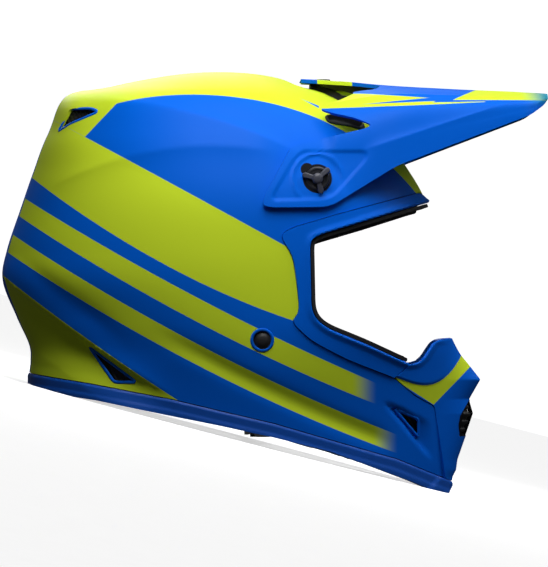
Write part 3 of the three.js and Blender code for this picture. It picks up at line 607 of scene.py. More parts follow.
def shell_paint(c):
    g = Graph("shell_paint")
    x, y, _ = g.worn()
    blue, yellow = tuple(c.blue), tuple(c.yellow)
    y_side = g.math("ABSOLUTE", y)
    bands = g.both(g.no(g.over_edge("panel_bottom")), g.over_edge("band_bottom"))
    one = g.both(g.no(g.over_edge("stripe_one_top")), g.over_edge("stripe_one_bottom"),
                 g.no(g.ramp(x, 0.9, 1.09)))
    two = g.both(g.no(g.over_edge("stripe_two_top")), g.over_edge("stripe_two_bottom"),
                 g.no(g.ramp(x, 1.05, 1.24)))
    wing = g.no(g.over_edge("wing_top"))
    panel = g.both(g.over_edge("panel_bottom"), g.no(g.over_edge("panel_top")),
                   g.no(g.over_line((-99, 62), (-76, 86))))
    crown = g.both(g.over_edge("panel_bottom"), g.no(panel))
    taper = g.math("MULTIPLY", g.math("SUBTRACT", -0.38, x), 0.2)
    spine = g.both(g.no(g.ramp(g.math("SUBTRACT", y_side, taper), -0.003, 0.003)),
                   g.no(g.ramp(x, -0.4, -0.38)))
    total = bands
    for mask in (one, two, wing, crown):
        total = g.math("MAXIMUM", total, mask)
    dart = g.both(g.over_line((54, 89.6), (67.5, 82.4)), g.no(g.over_line((54, 89.4), (67.5, 84.2))),
                  g.no(g.ramp(x, 0.67, 0.675)), g.ramp(y_side, 0.4, 0.41))
    total = g.both(total, g.no(spine), g.no(dart))
    colour = g.mix(total, blue, yellow)
    return paint(g, colour)


def plain_paint(name, colour_name):
    def make(c):
        g = Graph(name)
        tone = tuple(getattr(c, colour_name))
        return paint(g, g.mix(g.noise(4, 2), tuple(v * 0.97 for v in tone), tone))
    return make


def nose_paint(c):
    g = Graph("nose_paint")
    over = g.over_line((121, -110.5), (150, -129))
    low = g.over_line((149, -129), (180, -98))
    band = g.both(over, low, g.no(g.over_edge("nose_band_top")))
    colour = g.mix(band, tuple(c.blue), tuple(c.yellow))
    _, y, z = g.worn()
    # The mouthpiece front round its intake is painted black. This is painted shade of the shadowed intake
    # opening.
    intake_shade = g.both(g.over_line((175.7, -124.9), (167, -139.7)), g.over_line((167, -139.7), (168.3, -152)),
                   g.ramp(z, -1.52, -1.515), g.no(g.ramp(g.math("ABSOLUTE", y), 0.28, 0.285)))
    return paint(g, g.mix(intake_shade, colour, tuple(c.black)))


def visor_paint(c):
    g = Graph("visor_paint")
    x, y, z = g.worn()
    side = g.math("ABSOLUTE", y)
    blue, yellow, teal = tuple(c.blue), tuple(c.yellow), tuple(c.teal)
    bound = g.both(g.over_line((60, 81.6), (137, 84.3)), g.over_line((137, 84.3), (187, 86.9)))
    rim = g.both(bound, g.no(g.ramp(z, 0.926, 0.93)), g.no(g.over_line((163, 88.5), (187, 86.9))),
                 g.over_line((151, 88), (166, 96.5)), g.ramp(side, 0.4, 0.41))
    wedge = g.both(g.over_line((107, 85.4), (156, 87.6)), g.no(g.over_line((107, 85.9), (156, 90.9))))
    sliver = g.both(bound, g.no(g.over_line((107, 85.4), (187, 87.2))), g.no(g.ramp(x, 1.84, 1.86)))
    rim = g.math("MAXIMUM", g.both(rim, g.no(wedge)), sliver)
    block = g.both(g.no(g.over_line((163, 88.5), (180, 96.5))), g.over_line((163, 88.2), (230, 88.2)))
    tongue = g.both(g.ramp(x, 0.66, 0.665), g.no(g.ramp(x, 0.91, 0.915)), g.no(g.ramp(side, 0.3, 0.305)),
                    g.ramp(z, 0.97, 0.975))
    streak = g.both(g.over_line((92, 6), (168, 14), axes=(0, 1)),
                    g.no(g.over_line((92, 16), (168, 15), axes=(0, 1))))
    total = rim
    for mask in (block, tongue, streak):
        total = g.math("MAXIMUM", total, mask)
    colour = g.mix(total, blue, yellow)
    colour = g.mix(g.both(g.ramp(x, 2.1, 2.32), g.ramp(z, 0.83, 0.9)), colour, teal)
    # The recess under each thumb screw and its keyhole lobe are painted black. This is painted shade, so the
    # shallow recesses read as holes.
    seat = g.math("MAXIMUM", g.disc(PIVOT, SEAT_RADIUS - 0.1), g.disc(KEYHOLE, KEYHOLE_RADIUS - 0.1))
    return paint(g, g.mix(seat, colour, tuple(c.black)))


def moulded(name, colour_name, roughness, grain=700, depth=0.00008):
    def make(c):
        g = Graph(name)
        return g.surface(tuple(getattr(c, colour_name)), roughness, g.noise(grain, 4, 0.6), depth)
    return make


def screw_plastic(c):
    """Dark moulded disc. The blades and hub are paler where they stand more than about 2 mm out from the
    disc's base.
    """
    g = Graph("screw_plastic")
    level = (shell_y(*PIVOT) + ARM_CLEARANCE + VISOR_WALL + 2.4) / 100
    raised = g.ramp(g.math("ABSOLUTE", g.worn()[1]), float(level), float(level) + 0.015)
    tint = g.mix(raised, tuple(v * 0.45 for v in c.screw), tuple(v * 1.7 for v in c.screw))
    return g.surface(tint, 0.38, g.noise(900, 4, 0.6), 0.00005)


def pedestal_paint(c):
    """Black moulding with a painted patch on each side."""
    g = Graph("pedestal_paint")
    patch = [(79.7, 96.1), (84, 93.3), (97, 91), (98.8, 92.4), (90.4, 95.9)]
    mask = g.both(*[g.over_line(a, b) for a, b in zip(patch, patch[1:] + patch[:1])])
    return g.surface(g.mix(mask, tuple(c.black), tuple(c.yellow)), 0.5, g.noise(700, 4, 0.6), 0.00008)


def knit(c):
    """Brushed lining: fine knitted ribs with a soft nap."""
    g = Graph("lining_knit")
    heights = []
    for angle in (0.6, -0.6):
        turn = g.add("ShaderNodeVectorRotate", rotation_type="AXIS_ANGLE")
        turn.inputs["Axis"].default_value = (0.3, 1.0, 0.2)
        turn.inputs["Angle"].default_value = angle
        g.link(g.place(), turn.inputs["Vector"])
        wave = g.add("ShaderNodeTexWave")
        wave.inputs["Scale"].default_value = 260
        wave.inputs["Distortion"].default_value = 1.5
        wave.inputs["Detail Scale"].default_value = 2
        g.link(turn.outputs[0], wave.inputs["Vector"])
        heights.append(wave.outputs["Fac"])
    weave = g.math("MULTIPLY", *heights)
    bump = g.math("ADD", weave, g.math("MULTIPLY", g.noise(1500, 3), 0.5))
    tint = g.mix(weave, tuple(v * 0.6 for v in c.fabric), tuple(v * 1.9 for v in c.fabric))
    return g.surface(tint, 0.9, bump, 0.0004, 0.04, sheen=0.5, specular=0.2)


def foam_beads(c):
    """Moulded bead foam: packed round cells."""
    g = Graph("bead_foam")
    cells = g.add("ShaderNodeTexVoronoi")
    cells.inputs["Scale"].default_value = 300
    g.link(g.place(), cells.inputs["Vector"])
    tint = g.mix(cells.outputs["Distance"], tuple(v * 2.2 for v in c.black), tuple(v * 1.0 for v in c.black))
    return g.surface(tint, 0.8, g.no(cells.outputs["Distance"]), 0.0004, 0.05, specular=0.3)


def webbing(c):
    """Woven strap: a herringbone of fine yarns."""
    g = Graph("strap_webbing")
    waves = []
    for axis, scale in ((0, 320), (1, 420)):
        wave = g.add("ShaderNodeTexWave", bands_direction="XYZ"[axis])
        wave.inputs["Scale"].default_value = scale
        wave.inputs["Distortion"].default_value = 0.3
        g.link(g.place(), wave.inputs["Vector"])
        waves.append(wave.outputs["Fac"])
    weave = g.math("MAXIMUM", *waves)
    tint = g.mix(weave, tuple(v * 0.7 for v in c.fabric), tuple(v * 2.5 for v in c.fabric))
    return g.surface(tint, 0.75, weave, 0.0003, 0.05, sheen=0.25, specular=0.3)


def brushed(c):
    g = Graph("brushed_steel")
    grain = g.noise(300, 4, 0.6, stretch=(1, 14, 14))
    tint = g.mix(grain, tuple(v * 0.85 for v in c.steel), tuple(c.steel))
    return g.surface(tint, 0.3, grain, 0.00002, 0.08, metallic=1.0)


MAKERS = {
    "shell": shell_paint,
    "frame": plain_paint("frame_paint", "blue"),
    "nose": nose_paint,
    "visor": visor_paint,
    "trim": moulded("trim_rubber", "trim", 0.5, 500, 0.00005),
    "black": moulded("black_plastic", "black", 0.5),
    "rubber": moulded("black_rubber", "black", 0.7, 400),
    "screw": screw_plastic,
    "pedestal": pedestal_paint,
    "knit": knit,
    "foam": foam_beads,
    "webbing": webbing,
    "steel": brushed,
}


# ---- pieces ----
EYEPORT_EDGE = fillet(EYEPORT, 7)
FRAME_EDGE = fillet(FRAME, 8)
NOSE_EDGE = fillet(NOSE, 2)


def sizes():
    return bpy.context.scene.helmet_sizes


def side_window(outlines, gap=0.0, positive=False):
    """keep() for a grid: outside every outline, or inside the first and outside the others."""
    def keep(p):
        x, z = p[..., 0], p[..., 2]
        value = np.full(x.shape, 1e9)
        for i, outline in enumerate(outlines):
            d = inside(x, z, outline)
            value = np.minimum(value, d - gap if positive and i == 0 else -d - gap)
        return value
    return keep


def make_shell():
    gap = sizes().seam * 500
    vents = [fillet(v, 2.5) for v in (CHIN_VENT, REAR_LOWER_VENT, REAR_UPPER_VENT)]
    panels = side_window([EYEPORT_EDGE, FRAME_EDGE, NOSE_EDGE, TRIM, *vents], gap)
    scoop = fillet(BROW_VENT, 3)

    def keep(p):
        x, y, z = p[..., 0], np.abs(p[..., 1]), p[..., 2]
        intake = -np.minimum(inside(x, z, scoop), y - SCOOP_FROM)
        plug = np.hypot(x - RIVET[0], z - RIVET[1]) - PLUG_HOLE
        screw = np.hypot(x - PIVOT[0], z - PIVOT[1]) - SCREW_HOLE
        return np.minimum(np.minimum(panels(p), intake), np.minimum(plug, screw))

    step = sizes().grid * 1000
    angles = np.linspace(-math.pi, math.pi, int(780 / step), endpoint=False)
    levels = np.linspace(0, 1, int(500 / step))
    obj = clipped_grid("painted_shell", shell_points, angles, levels, keep, closed=True, pole=True)
    thicken(obj, sizes().laminate, sizes().edge_radius)
    return finish_piece(obj, "helmet", "shell_blue", material("shell"), "outer_shell")


def make_frame():
    gap = sizes().seam * 500
    front = [(150, 8), (150, -80), (220, -80), (220, 8)]
    window = side_window([FRAME_EDGE, EYEPORT_EDGE, NOSE_EDGE, front], gap, positive=True)
    proud = sizes().frame_proud * 1000

    def surface(v, u):
        p = shell_points(v, u)
        d = inside(p[..., 0], p[..., 2], EYEPORT_EDGE)
        lip = proud + 1.6 * (1 - smooth(-d, 1.0, 5.5)) - 1.6 * (1 - smooth(-d, 0, 1.2))
        return shell_points(v, u, lip)

    angles = np.linspace(-1.9, 1.9, 400)
    obj = clipped_grid("eyeport_surround", surface, angles, np.linspace(0.25, 0.95, 240), window)
    thicken(obj, FRAME_WALL, sizes().edge_radius)
    return finish_piece(obj, "helmet", "shell_blue", material("frame"), "eyeport_frame")


def make_gasket():
    front = [(140, -20), (230, -20), (230, -120), (130, -120), (130, -98)]

    def keep(p):
        x, z = p[..., 0], p[..., 2]
        d = inside(x, z, EYEPORT_EDGE)
        elsewhere = np.minimum(-inside(x, z, NOSE_EDGE), -inside(x, z, front))
        return np.minimum(np.minimum(d - 0.3, 2.8 - d), elsewhere)

    obj = clipped_grid("eyeport_seal", lambda v, u: shell_points(v, u, 0.2), np.linspace(-1.9, 1.9, 520),
                       np.linspace(0.3, 0.9, 280), keep)
    thicken(obj, SEAL_WALL, 0.0006)
    return finish_piece(obj, "helmet", "black_rubber", material("rubber"), "eyeport_gasket")


def make_trim():
    gap = sizes().seam * 500

    def keep(p):
        x, z = p[..., 0], p[..., 2]
        floor = to_row(p)[..., 2] * 1000
        band = np.minimum(inside(x, z, TRIM) - gap, -inside(x, z, TRIM_CUT))
        return np.minimum(np.minimum(band, floor), 163.5 - x - 0.53 * np.maximum(-187 - z, 0))

    def surface(v, u):
        p = shell_points(v, u)
        d = inside(p[..., 0], p[..., 2], TRIM)
        cap = ((p[..., 0] - 146) * 7.4 - (p[..., 2] + 186.9) * 6.9) / 10.1
        bead = 0.9 * smooth(d, 0, 1.8) + 0.6 * smooth(d, 6, 9)
        return shell_points(v, u, 0.2 + bead + 1.2 * smooth(cap, 0, 1.2))

    obj = clipped_grid("edge_trim", surface, np.linspace(-math.pi, math.pi, 400, endpoint=False),
                       np.linspace(0.74, 1.0, 110), keep, closed=True)
    thicken(obj, TRIM_WALL, 0.0008)
    return finish_piece(obj, "helmet", "trim_blue", material("trim"), "base_trim")


# height and forward reach of the nose along its middle
NOSE_PROFILE = [(-60, 158), (-80, 161), (-93.5, 169.5), (-102, 176.5), (-111, 183.5), (-125, 175.5),
                (-135.5, 178.5), (-168.5, 167), (-176, 166), (-181, 163.4), (-210, 160)]
GRILLE_EDGE = [(150, -110), (200, -110), (200, -172), (150, -172)]


def nose_points(v, u):
    """The chin bar's skin pushed forward into the faceted nose."""
    p = shell_points(v, u, 0.4)
    x, y, z = p[..., 0], np.abs(p[..., 1]), p[..., 2]
    zs, xs = np.array(NOSE_PROFILE[::-1], float).T
    front = np.interp(z, zs, xs)
    blunt = np.clip((48 - y) / 30, 0, 1)
    flat = np.where(y < 17, 1.0, blunt**1.15)
    reach = smooth(x, 128, 150)
    cap = np.minimum(x, front)
    target = np.where(y < 17, front, cap + (front - cap) * flat)
    p[..., 0] = x + (target - x) * reach * flat
    rim = -inside(p[..., 0], z, EYEPORT_EDGE)
    lip = 1.2 * smooth(above("nose_band_top", p[..., 0], z), -0.4, 1.6)
    lip += 1.4 * (1 - smooth(rim, 1, 5.5)) - 1.6 * (1 - smooth(rim, 0, 1.2))
    p[..., 1] += np.sign(p[..., 1]) * lip * (1 - smooth(p[..., 0], 152, 164))
    return p


def make_nose():
    gap = sizes().seam * 500
    intake = [(166, -141), (175.5, -126.5), (186, -128), (180, -150), (168, -152)]
    window = side_window([NOSE_EDGE, EYEPORT_EDGE, TRIM], gap, positive=True)

    def keep(p):
        x, y, z = p[..., 0], np.abs(p[..., 1]), p[..., 2]
        slot = -np.minimum(inside(x, z, intake), np.minimum(y - 3, 26 - y))
        return np.minimum(window(p), slot)

    obj = clipped_grid("mouthpiece_nose", nose_points, np.linspace(-1.25, 1.25, 300),
                       np.linspace(0.6, 0.97, 190), keep)
    thicken(obj, NOSE_WALL, 0.0008)
    return finish_piece(obj, "helmet", "shell_blue", material("nose"), "mouthpiece")


def make_grille():
    """Louvred sheet behind the mouthpiece's intake."""
    depth = 1.6

    def keep(p):
        x, y, z = p[..., 0], np.abs(p[..., 1]), p[..., 2]
        return np.minimum(np.minimum(inside(x, z, GRILLE_EDGE), 34 - y), np.minimum(z + 158, -120 - z))

    def surface(v, u):
        p = nose_points(v, u)
        louvre = smooth(np.sin(p[..., 2] / 5.5 * 2 * math.pi), -0.3, 0.6)
        p[..., 0] -= 2.0 + depth * (1 - louvre)
        return p

    obj = clipped_grid("intake_louvres", surface, np.linspace(-0.9, 0.9, 200), np.linspace(0.65, 0.96, 240),
                       keep)
    thicken(obj, 0.0012, 0)
    return finish_piece(obj, "helmet", "black_plastic", material("black"), "mouthpiece_grille")


# ---- visor ----
# x, centre height, crease half width, crease height, arm-top height, arm-bottom height, arm-bottom half width
VISOR_STATIONS = np.array([
    (20, 106, 88, 84, 60, 9, 0),
    (45, 106, 88, 84, 60, 9, 0),
    (56, 105.5, 88, 84, 62, 9, 0),
    (66, 105, 87, 84, 63, 9, 0),
    (78, 104, 87, 86, 66, 11, 108.5),
    (91, 103, 86.5, 88.5, 68, 19, 106),
    (106, 101.5, 85.5, 91, 74, 27, 103),
    (124, 100, 84, 92.5, 80, 39, 101),
    (150, 98.5, 81.5, 92, 82, 49, 97),
    (180, 97, 78, 91, 84, 61.5, 92),
    (205, 96, 74, 90.5, 86, 71.5, 87),
    (218, 95.2, 69, 90.5, 87, 76, 81),
    (226, 94.8, 60, 91, 88.5, 82, 70),
    (231, 94.4, 44, 92, 90, 88, 50),
], float)
VISOR_SIDE = [(27, 13), (29, 20), (48, 55), (53, 56.3), (84, 64), (101, 68), (104.5, 70.5), (92, 75.5),
              (76, 79), (67, 82.2), (67, 96), (55, 97), (54, 120), (245, 120), (245, 98), (232, 91.5),
              (228.5, 85.7), (218, 77.8), (132, 45), (122, 41), (112, 35), (78, 14), (71, 12), (35, 11.5)]
DECK_HOLE = [(40, 25), (94, 27), (112, 44), (108, 66), (88, 74), (40, 74)]
ARM_PANEL = [(34, 19.5), (49.5, 46), (55, 51.5), (100, 51.5), (101.5, 47), (78, 20), (69, 17.5), (35, 16.5)]
ARM_EDGE = fillet(ARM_PANEL, 4)


def visor_section(row):
    x, zc, yc, zr, z_top, z_low, y_low = row
    out = VISOR_WALL + ARM_CLEARANCE
    z_mid = (z_top + z_low) / 2

    def shell_side(z):
        return shell_y(x, z) + out if x < 125 else 0

    if y_low:
        y_top = max(shell_side(z_top), yc + (y_low - yc) * 0.62 + 1.5)
        y_mid = max(shell_side(z_mid), yc + (y_low - yc) * 0.86 + 1.0)
        y_bottom = max(shell_side(z_low), y_low)
    else:
        y_top, y_mid, y_bottom = shell_side(z_top), shell_side(z_mid), shell_side(z_low)
    return [(x, 0, zc), (x, yc * 0.45, zc + (zr - zc) * 0.14), (x, yc * 0.8, zc + (zr - zc) * 0.55),
            (x, yc, zr), (x, y_top, z_top), (x, y_mid, z_mid), (x, y_bottom, z_low)]


def through(points, t, sharp=()):
    """Points read as a curve along their second-last axis, with corners kept at the sharp ones."""
    n = points.shape[-2] - 1
    s = np.clip(t, 0, 1) * n
    i = np.minimum(s.astype(int), n - 1)
    f = (s - i)[..., None]

    def get(k):
        k = np.clip(k, 0, n)
        return np.take_along_axis(points, np.broadcast_to(k[..., None], (*k.shape, 3)), axis=-2)

    b, c = get(i), get(i + 1)
    tb, tc = (c - get(i - 1)) / 2, (get(i + 2) - b) / 2
    for k in sharp:
        tb = np.where((i == k)[..., None], (c - b) * 0.9, tb)
        tc = np.where((i + 1 == k)[..., None], (c - b) * 0.9, tc)
    return ((2 * f**3 - 3 * f**2 + 1) * b + (f**3 - 2 * f**2 + f) * tb + (3 * f**2 - 2 * f**3) * c
            + (f**3 - f**2) * tc)


def visor_table(steps):
    """The visor's stations blended along x, as one array of sections."""
    rows = np.array([visor_section(r) for r in VISOR_STATIONS])
    along = np.interp(steps, VISOR_STATIONS[:, 0], np.arange(len(rows)))
    i = np.minimum(along.astype(int), len(rows) - 2)
    f = (along - i)[:, None, None]
    a, b, c, d = rows[np.maximum(i - 1, 0)], rows[i], rows[i + 1], rows[np.minimum(i + 2, len(rows) - 1)]
    ha, hb, hc = (b - a)[..., :1], (c - b)[..., :1], (d - c)[..., :1]
    mb = ((c - b) + np.where(ha > 0, (b - a) * hb / np.maximum(ha, 1e-6), c - b)) / 2
    mc = ((c - b) + np.where(hc > 0, (d - c) * hb / np.maximum(hc, 1e-6), c - b)) / 2
    return ((2 * f**3 - 3 * f**2 + 1) * b + (f**3 - 2 * f**2 + f) * mb + (3 * f**2 - 2 * f**3) * c
            + (f**3 - f**2) * mc)


def visor_points(v, u):
    """v runs from the back to the peak, u from the right lower edge over the top to the left one."""
    x = 22 + v * 209
    shape = x.shape
    table = visor_table(x.reshape(-1))
    p = through(table, np.abs(u).reshape(-1, 1), sharp=(3,))[:, 0].reshape(*shape, 3)
    side, z = p[..., 1].copy(), p[..., 2]
    arm = np.abs(u) > 0.5
    clear = shell_y(x, z) + relief(p) + VISOR_WALL + ARM_CLEARANCE
    lift = arm * (1 - smooth(z, 68, 80)) * (1 - smooth(x, 105, 122))
    hug = 1 - smooth(x, 60, 80)
    side += lift * (hug * (clear - side) + (1 - hug) * np.maximum(clear - side, 0))
    ring = np.hypot(x - PIVOT[0], z - PIVOT[1])
    lobe = np.hypot(x - KEYHOLE[0], z - KEYHOLE[1])
    panel = inside(x, z, ARM_EDGE)
    arc = np.exp(-((ring - 17.5) / 1.1) ** 2) * smooth(z - x * 0.55, -16, -4) * (panel > 1)
    sink = 0.9 * arc - 1.2 * smooth(panel, -0.7, 0.9)
    sink -= 0.5 * (1 - smooth(ring, 15.5, 17.5)) * (panel > 1)
    hole = np.minimum(ring - SEAT_RADIUS, lobe - KEYHOLE_RADIUS)
    sink = np.where(hole < 0, -1.7, sink)
    d = (z - 53) - (x - 100) * 0.33
    flank = 1.5 * np.exp(-np.abs(d) / np.where(d > 0, 4, 11)) * smooth(x, 96, 112) * (1 - smooth(x, 190, 225))
    p[..., 1] = np.sign(u) * (side + arm * (sink + flank))
    seat = np.minimum(11 - np.abs(x - CENTRE_SCREW[0] + 2) * 0.75, 9.5 - side) * (z > 90)
    p[..., 2] -= 1.1 * smooth(seat, 0, 1.6)
    return p


def make_visor():
    side = fillet(VISOR_SIDE, 3.5)
    holes = fillet(DECK_HOLE, 6)

    def keep(p):
        x, y, z = p[..., 0], np.abs(p[..., 1]), p[..., 2]
        slot = np.maximum(np.maximum(CENTRE_SCREW[0] - 10.4 - x, x - CENTRE_SCREW[0] - 6.5), y - 2.9)
        screw = np.hypot(x - PIVOT[0], z - PIVOT[1]) - SCREW_HOLE + 100 * (y < 60)
        deck = np.where(z > 77, -inside(x, y, holes), 1e3)
        taper = np.where((y > 40) & (x < 92), 81 + (x - 66) * 0.4545 - z, 1e3)
        deck = np.minimum(deck, taper)
        return np.minimum(np.minimum(inside(x, z, side), deck), np.minimum(slot, screw))

    obj = clipped_grid("peak", visor_points, np.linspace(-1, 1, 261), np.linspace(0, 1, 170), keep)
    thicken(obj, VISOR_WALL / 1000, 0.0006)
    return finish_piece(obj, "visor", "visor_blue", material("visor"), "visor")


# ---- small hardware ----
def lathe(name, profile, place_at, axis, turns=48):
    """A turned piece: profile is (radius, height) in millimetres, height along axis."""
    bm = bmesh.new()
    verts = [bm.verts.new((r / 1000, 0, h / 1000)) for r, h in profile]
    edges = [bm.edges.new(pair) for pair in zip(verts, verts[1:])]
    bmesh.ops.spin(bm, geom=verts + edges, cent=(0, 0, 0), axis=(0, 0, 1), angle=2 * math.pi, steps=turns)
    bmesh.ops.remove_doubles(bm, verts=bm.verts, dist=1e-6)
    bmesh.ops.recalc_face_normals(bm, faces=bm.faces)
    turn = Vector((0, 0, 1)).rotation_difference(Vector(axis)).to_matrix().to_4x4()
    bm.transform(Matrix.Translation(Vector(place_at)) @ turn)
    obj = mesh_object(name, bm)
    obj.data.polygons.foreach_set("use_smooth", [True] * len(obj.data.polygons))
    return bevel_edges(obj, 0.0003)


def bevel_edges(obj, width, segments=2, angle=35):
    bevel = obj.modifiers.new("Edge", "BEVEL")
    bevel.width = width
    bevel.segments = segments
    bevel.limit_method = "ANGLE"
    bevel.angle_limit = math.radians(angle)
    bevel.harden_normals = True
    return obj


def joined(name, objects):
    """Several loose shells as one object, modifiers applied."""
    bm = bmesh.new()
    graph = bpy.context.evaluated_depsgraph_get()
    for obj in objects:
        evaluated = obj.evaluated_get(graph)
        mesh = evaluated.to_mesh()
        bm.from_mesh(mesh)
        evaluated.to_mesh_clear()
    for obj in objects:
        bpy.data.objects.remove(obj)
    return mesh_object(name, bm)


BLADE_ANGLES = (40, 165, 285)
BLADE_OUTLINE = [(2.2, -1.9), (6.0, -2.1), (9.2, -2.5), (10.8, -1.5), (11.2, 0), (10.8, 1.5), (9.2, 2.5),
                 (6.0, 2.1), (2.2, 1.9)]
# turned profiles: radius, height
DISC_PROFILE = [(0, 0), (8.6, 0), (8.6, 1.1), (7.9, 1.7), (6.5, 1.8), (6.1, 1.3), (3.4, 1.3), (3.4, 3.0),
                (3.9, 3.8), (3.9, 4.9), (2.9, 5.9), (1.4, 6.2), (0, 6.2)]
SHANK_PROFILE = [(0, -15), (2.6, -15), (3, -14), (3, -0.4), (0, -0.4)]
CENTRE_PROFILE = [(0, -22), (2.2, -22), (2.4, -21), (2.4, -1), (6, -1), (6, 0), (5.4, 0.6), (3.2, 0.8),
                  (2.9, 0.4), (2.9, -0.2), (0, -0.2)]
PLUG_PROFILE = [(0, -3), (6.7, -3), (6.7, -0.4), (6.2, 0.1), (5.9, -0.2), (5.6, 0.0), (4.6, 0.9), (2.6, 1.5),
                (0, 1.75)]


def make_thumb_screw(side):
    s = SIDES[side]
    x, z = to_row((PIVOT[0], 0, PIVOT[1]))[[0, 2]]
    face = (shell_y(*PIVOT) + ARM_CLEARANCE + VISOR_WALL + 0.5) / 1000 * s
    out = (0, s, 0)
    parts = [lathe("disc", DISC_PROFILE, (x, face, z), out),
             lathe("shank", SHANK_PROFILE, (x, face, z), out, 24)]
    for degrees in BLADE_ANGLES:
        bm = bmesh.new()
        bottom = [bm.verts.new((a / 1000, s * 0.0012, b / 1000)) for a, b in BLADE_OUTLINE]
        top = []
        for a, b in BLADE_OUTLINE:
            height = 0.0052 - 0.0012 * (a / 10) ** 2
            top.append(bm.verts.new((a / 1000 * 0.98, s * height, b / 1000 * 0.72)))
        bridge(bm, [bottom, top])
        bmesh.ops.recalc_face_normals(bm, faces=bm.faces)
        turn = Matrix.Rotation(-math.radians(degrees) - REST_TILT, 4, "Y")
        bm.transform(Matrix.Translation((x, face, z)) @ turn)
        parts.append(bevel_edges(mesh_object("blade", bm), 0.0005, 3, 30))
    obj = joined("thumb_screw_" + side, parts)
    return finish_piece(obj, "screw_" + side, "screw_plastic", material("screw"), "visor_screw_" + side)


def make_centre_screw():
    x, y, z = to_row((CENTRE_SCREW[0], 0, CENTRE_SCREW[1] + 0.2))
    axis = (-SIN, 0, COS)
    obj = lathe("tongue_screw", CENTRE_PROFILE, (x, y, z), axis)
    return finish_piece(obj, "centre_screw", "screw_plastic", material("screw"), "visor_centre_screw")


def make_rivet(side):
    s = SIDES[side]
    x, z = to_row((RIVET[0], 0, RIVET[1]))[[0, 2]]
    y = (shell_y(*RIVET) - 0.6) / 1000 * s
    obj = lathe("strap_plug_" + side, PLUG_PROFILE, (x, y, z), (0, s, 0))
    return finish_piece(obj, "helmet", "black_plastic", material("black"), "strap_rivet_" + side)


def make_vent(name, outline, side):
    """A screen behind a vent: a fine raised lattice on a dark sheet."""
    s = SIDES[side]
    def keep(p):
        return np.minimum(inside(p[..., 0], p[..., 2], outline) + 3.0, s * p[..., 1] - 5)

    def surface(v, u):
        p = shell_points(v, u)
        k = (p[..., 0] + p[..., 2] * 0.5) / 3.2 * 2 * math.pi
        return shell_points(v, u, 0.9 * smooth(np.sin(k), 0.1, 0.6) - SCREEN_DEPTH)

    us = (0.02, math.pi - 0.02) if s > 0 else (-math.pi + 0.02, -0.02)
    obj = clipped_grid(f"{name}_{side}", surface, np.linspace(*us, 420), np.linspace(0.2, 0.95, 420), keep)
    thicken(obj, 0.001, 0)
    node = name.replace("screen", "vent_mesh_") + side
    return finish_piece(obj, "helmet", "black_plastic", material("black"), node)


def make_rims(side):
    """Raised painted lips round the vents and the countersunk ring round the strap plug."""
    s = SIDES[side]
    turns = np.linspace(0, 2 * math.pi, 60, endpoint=False)
    radius = PLUG_HOLE + 0.3
    ring = np.stack([RIVET[0] + radius * np.cos(turns), RIVET[1] + radius * np.sin(turns)], -1)
    bm = bmesh.new()
    for path in (*[fillet(v, 2.5, 8) for v in (CHIN_VENT, REAR_LOWER_VENT, REAR_UPPER_VENT)], ring):
        x, z = spread(path, 1.2)
        y = skin_y(x, z)
        centre = np.stack([x, y, z], -1)
        normal = np.stack([skin_y(x - 1, z) - skin_y(x + 1, z), np.full(x.shape, 2.0),
                           skin_y(x, z - 1) - skin_y(x, z + 1)], -1)
        normal /= np.linalg.norm(normal, axis=1, keepdims=True)
        ahead = np.roll(centre, -1, axis=0) - np.roll(centre, 1, axis=0)
        across = np.cross(ahead, normal)
        across /= np.linalg.norm(across, axis=1, keepdims=True)
        rings = []
        for a in np.linspace(0, 2 * math.pi, 10, endpoint=False):
            p = centre + across * (1.15 * math.cos(a)) + normal * (0.75 * math.sin(a))
            p[:, 1] *= s
            rings.append([bm.verts.new(q) for q in to_row(p)])
        bridge(bm, rings, ends=False)
    bmesh.ops.recalc_face_normals(bm, faces=bm.faces)
    obj = mesh_object("vent_rims_" + side, bm)
    obj.data.polygons.foreach_set("use_smooth", [True] * len(obj.data.polygons))
    return finish_piece(obj, "helmet", "shell_blue", material("frame"))


def make_backing():
    """A dark strip behind the seam between the shell and the edge trim."""
    def keep(p):
        floor = to_row(p)[..., 2] * 1000 - 3
        return np.minimum(np.minimum(4 - np.abs(inside(p[..., 0], p[..., 2], TRIM)), 160 - p[..., 0]), floor)

    obj = clipped_grid("rim_backing", lambda v, u: shell_points(v, u, -BACKING_DEPTH),
                       np.linspace(-math.pi, math.pi, 300, endpoint=False), np.linspace(0.74, 1.0, 90), keep,
                       closed=True)
    thicken(obj, 0.0008, 0)
    return finish_piece(obj, "helmet", "black_rubber", material("rubber"))


def make_scoop(side):
    s = SIDES[side]
    edge = fillet(BROW_VENT, 3)

    def keep(p):
        return np.minimum(inside(p[..., 0], p[..., 2], edge) - 0.2, s * p[..., 1] - SCOOP_FROM - 0.3)

    def surface(v, u):
        p = shell_points(v, u)
        d = inside(p[..., 0], p[..., 2], edge)
        return shell_points(v, u, 0.8 - 3.4 * smooth(d, 0.8, 2.6))

    us = (0.02, math.pi / 2 + 0.3) if s > 0 else (-math.pi / 2 - 0.3, -0.02)
    obj = clipped_grid("brow_intake_" + side, surface, np.linspace(*us, 240), np.linspace(0.15, 0.5, 200),
                       keep)
    thicken(obj, 0.0016, 0.0003)
    return finish_piece(obj, "helmet", "black_plastic", material("black"), "brow_scoop_" + side)


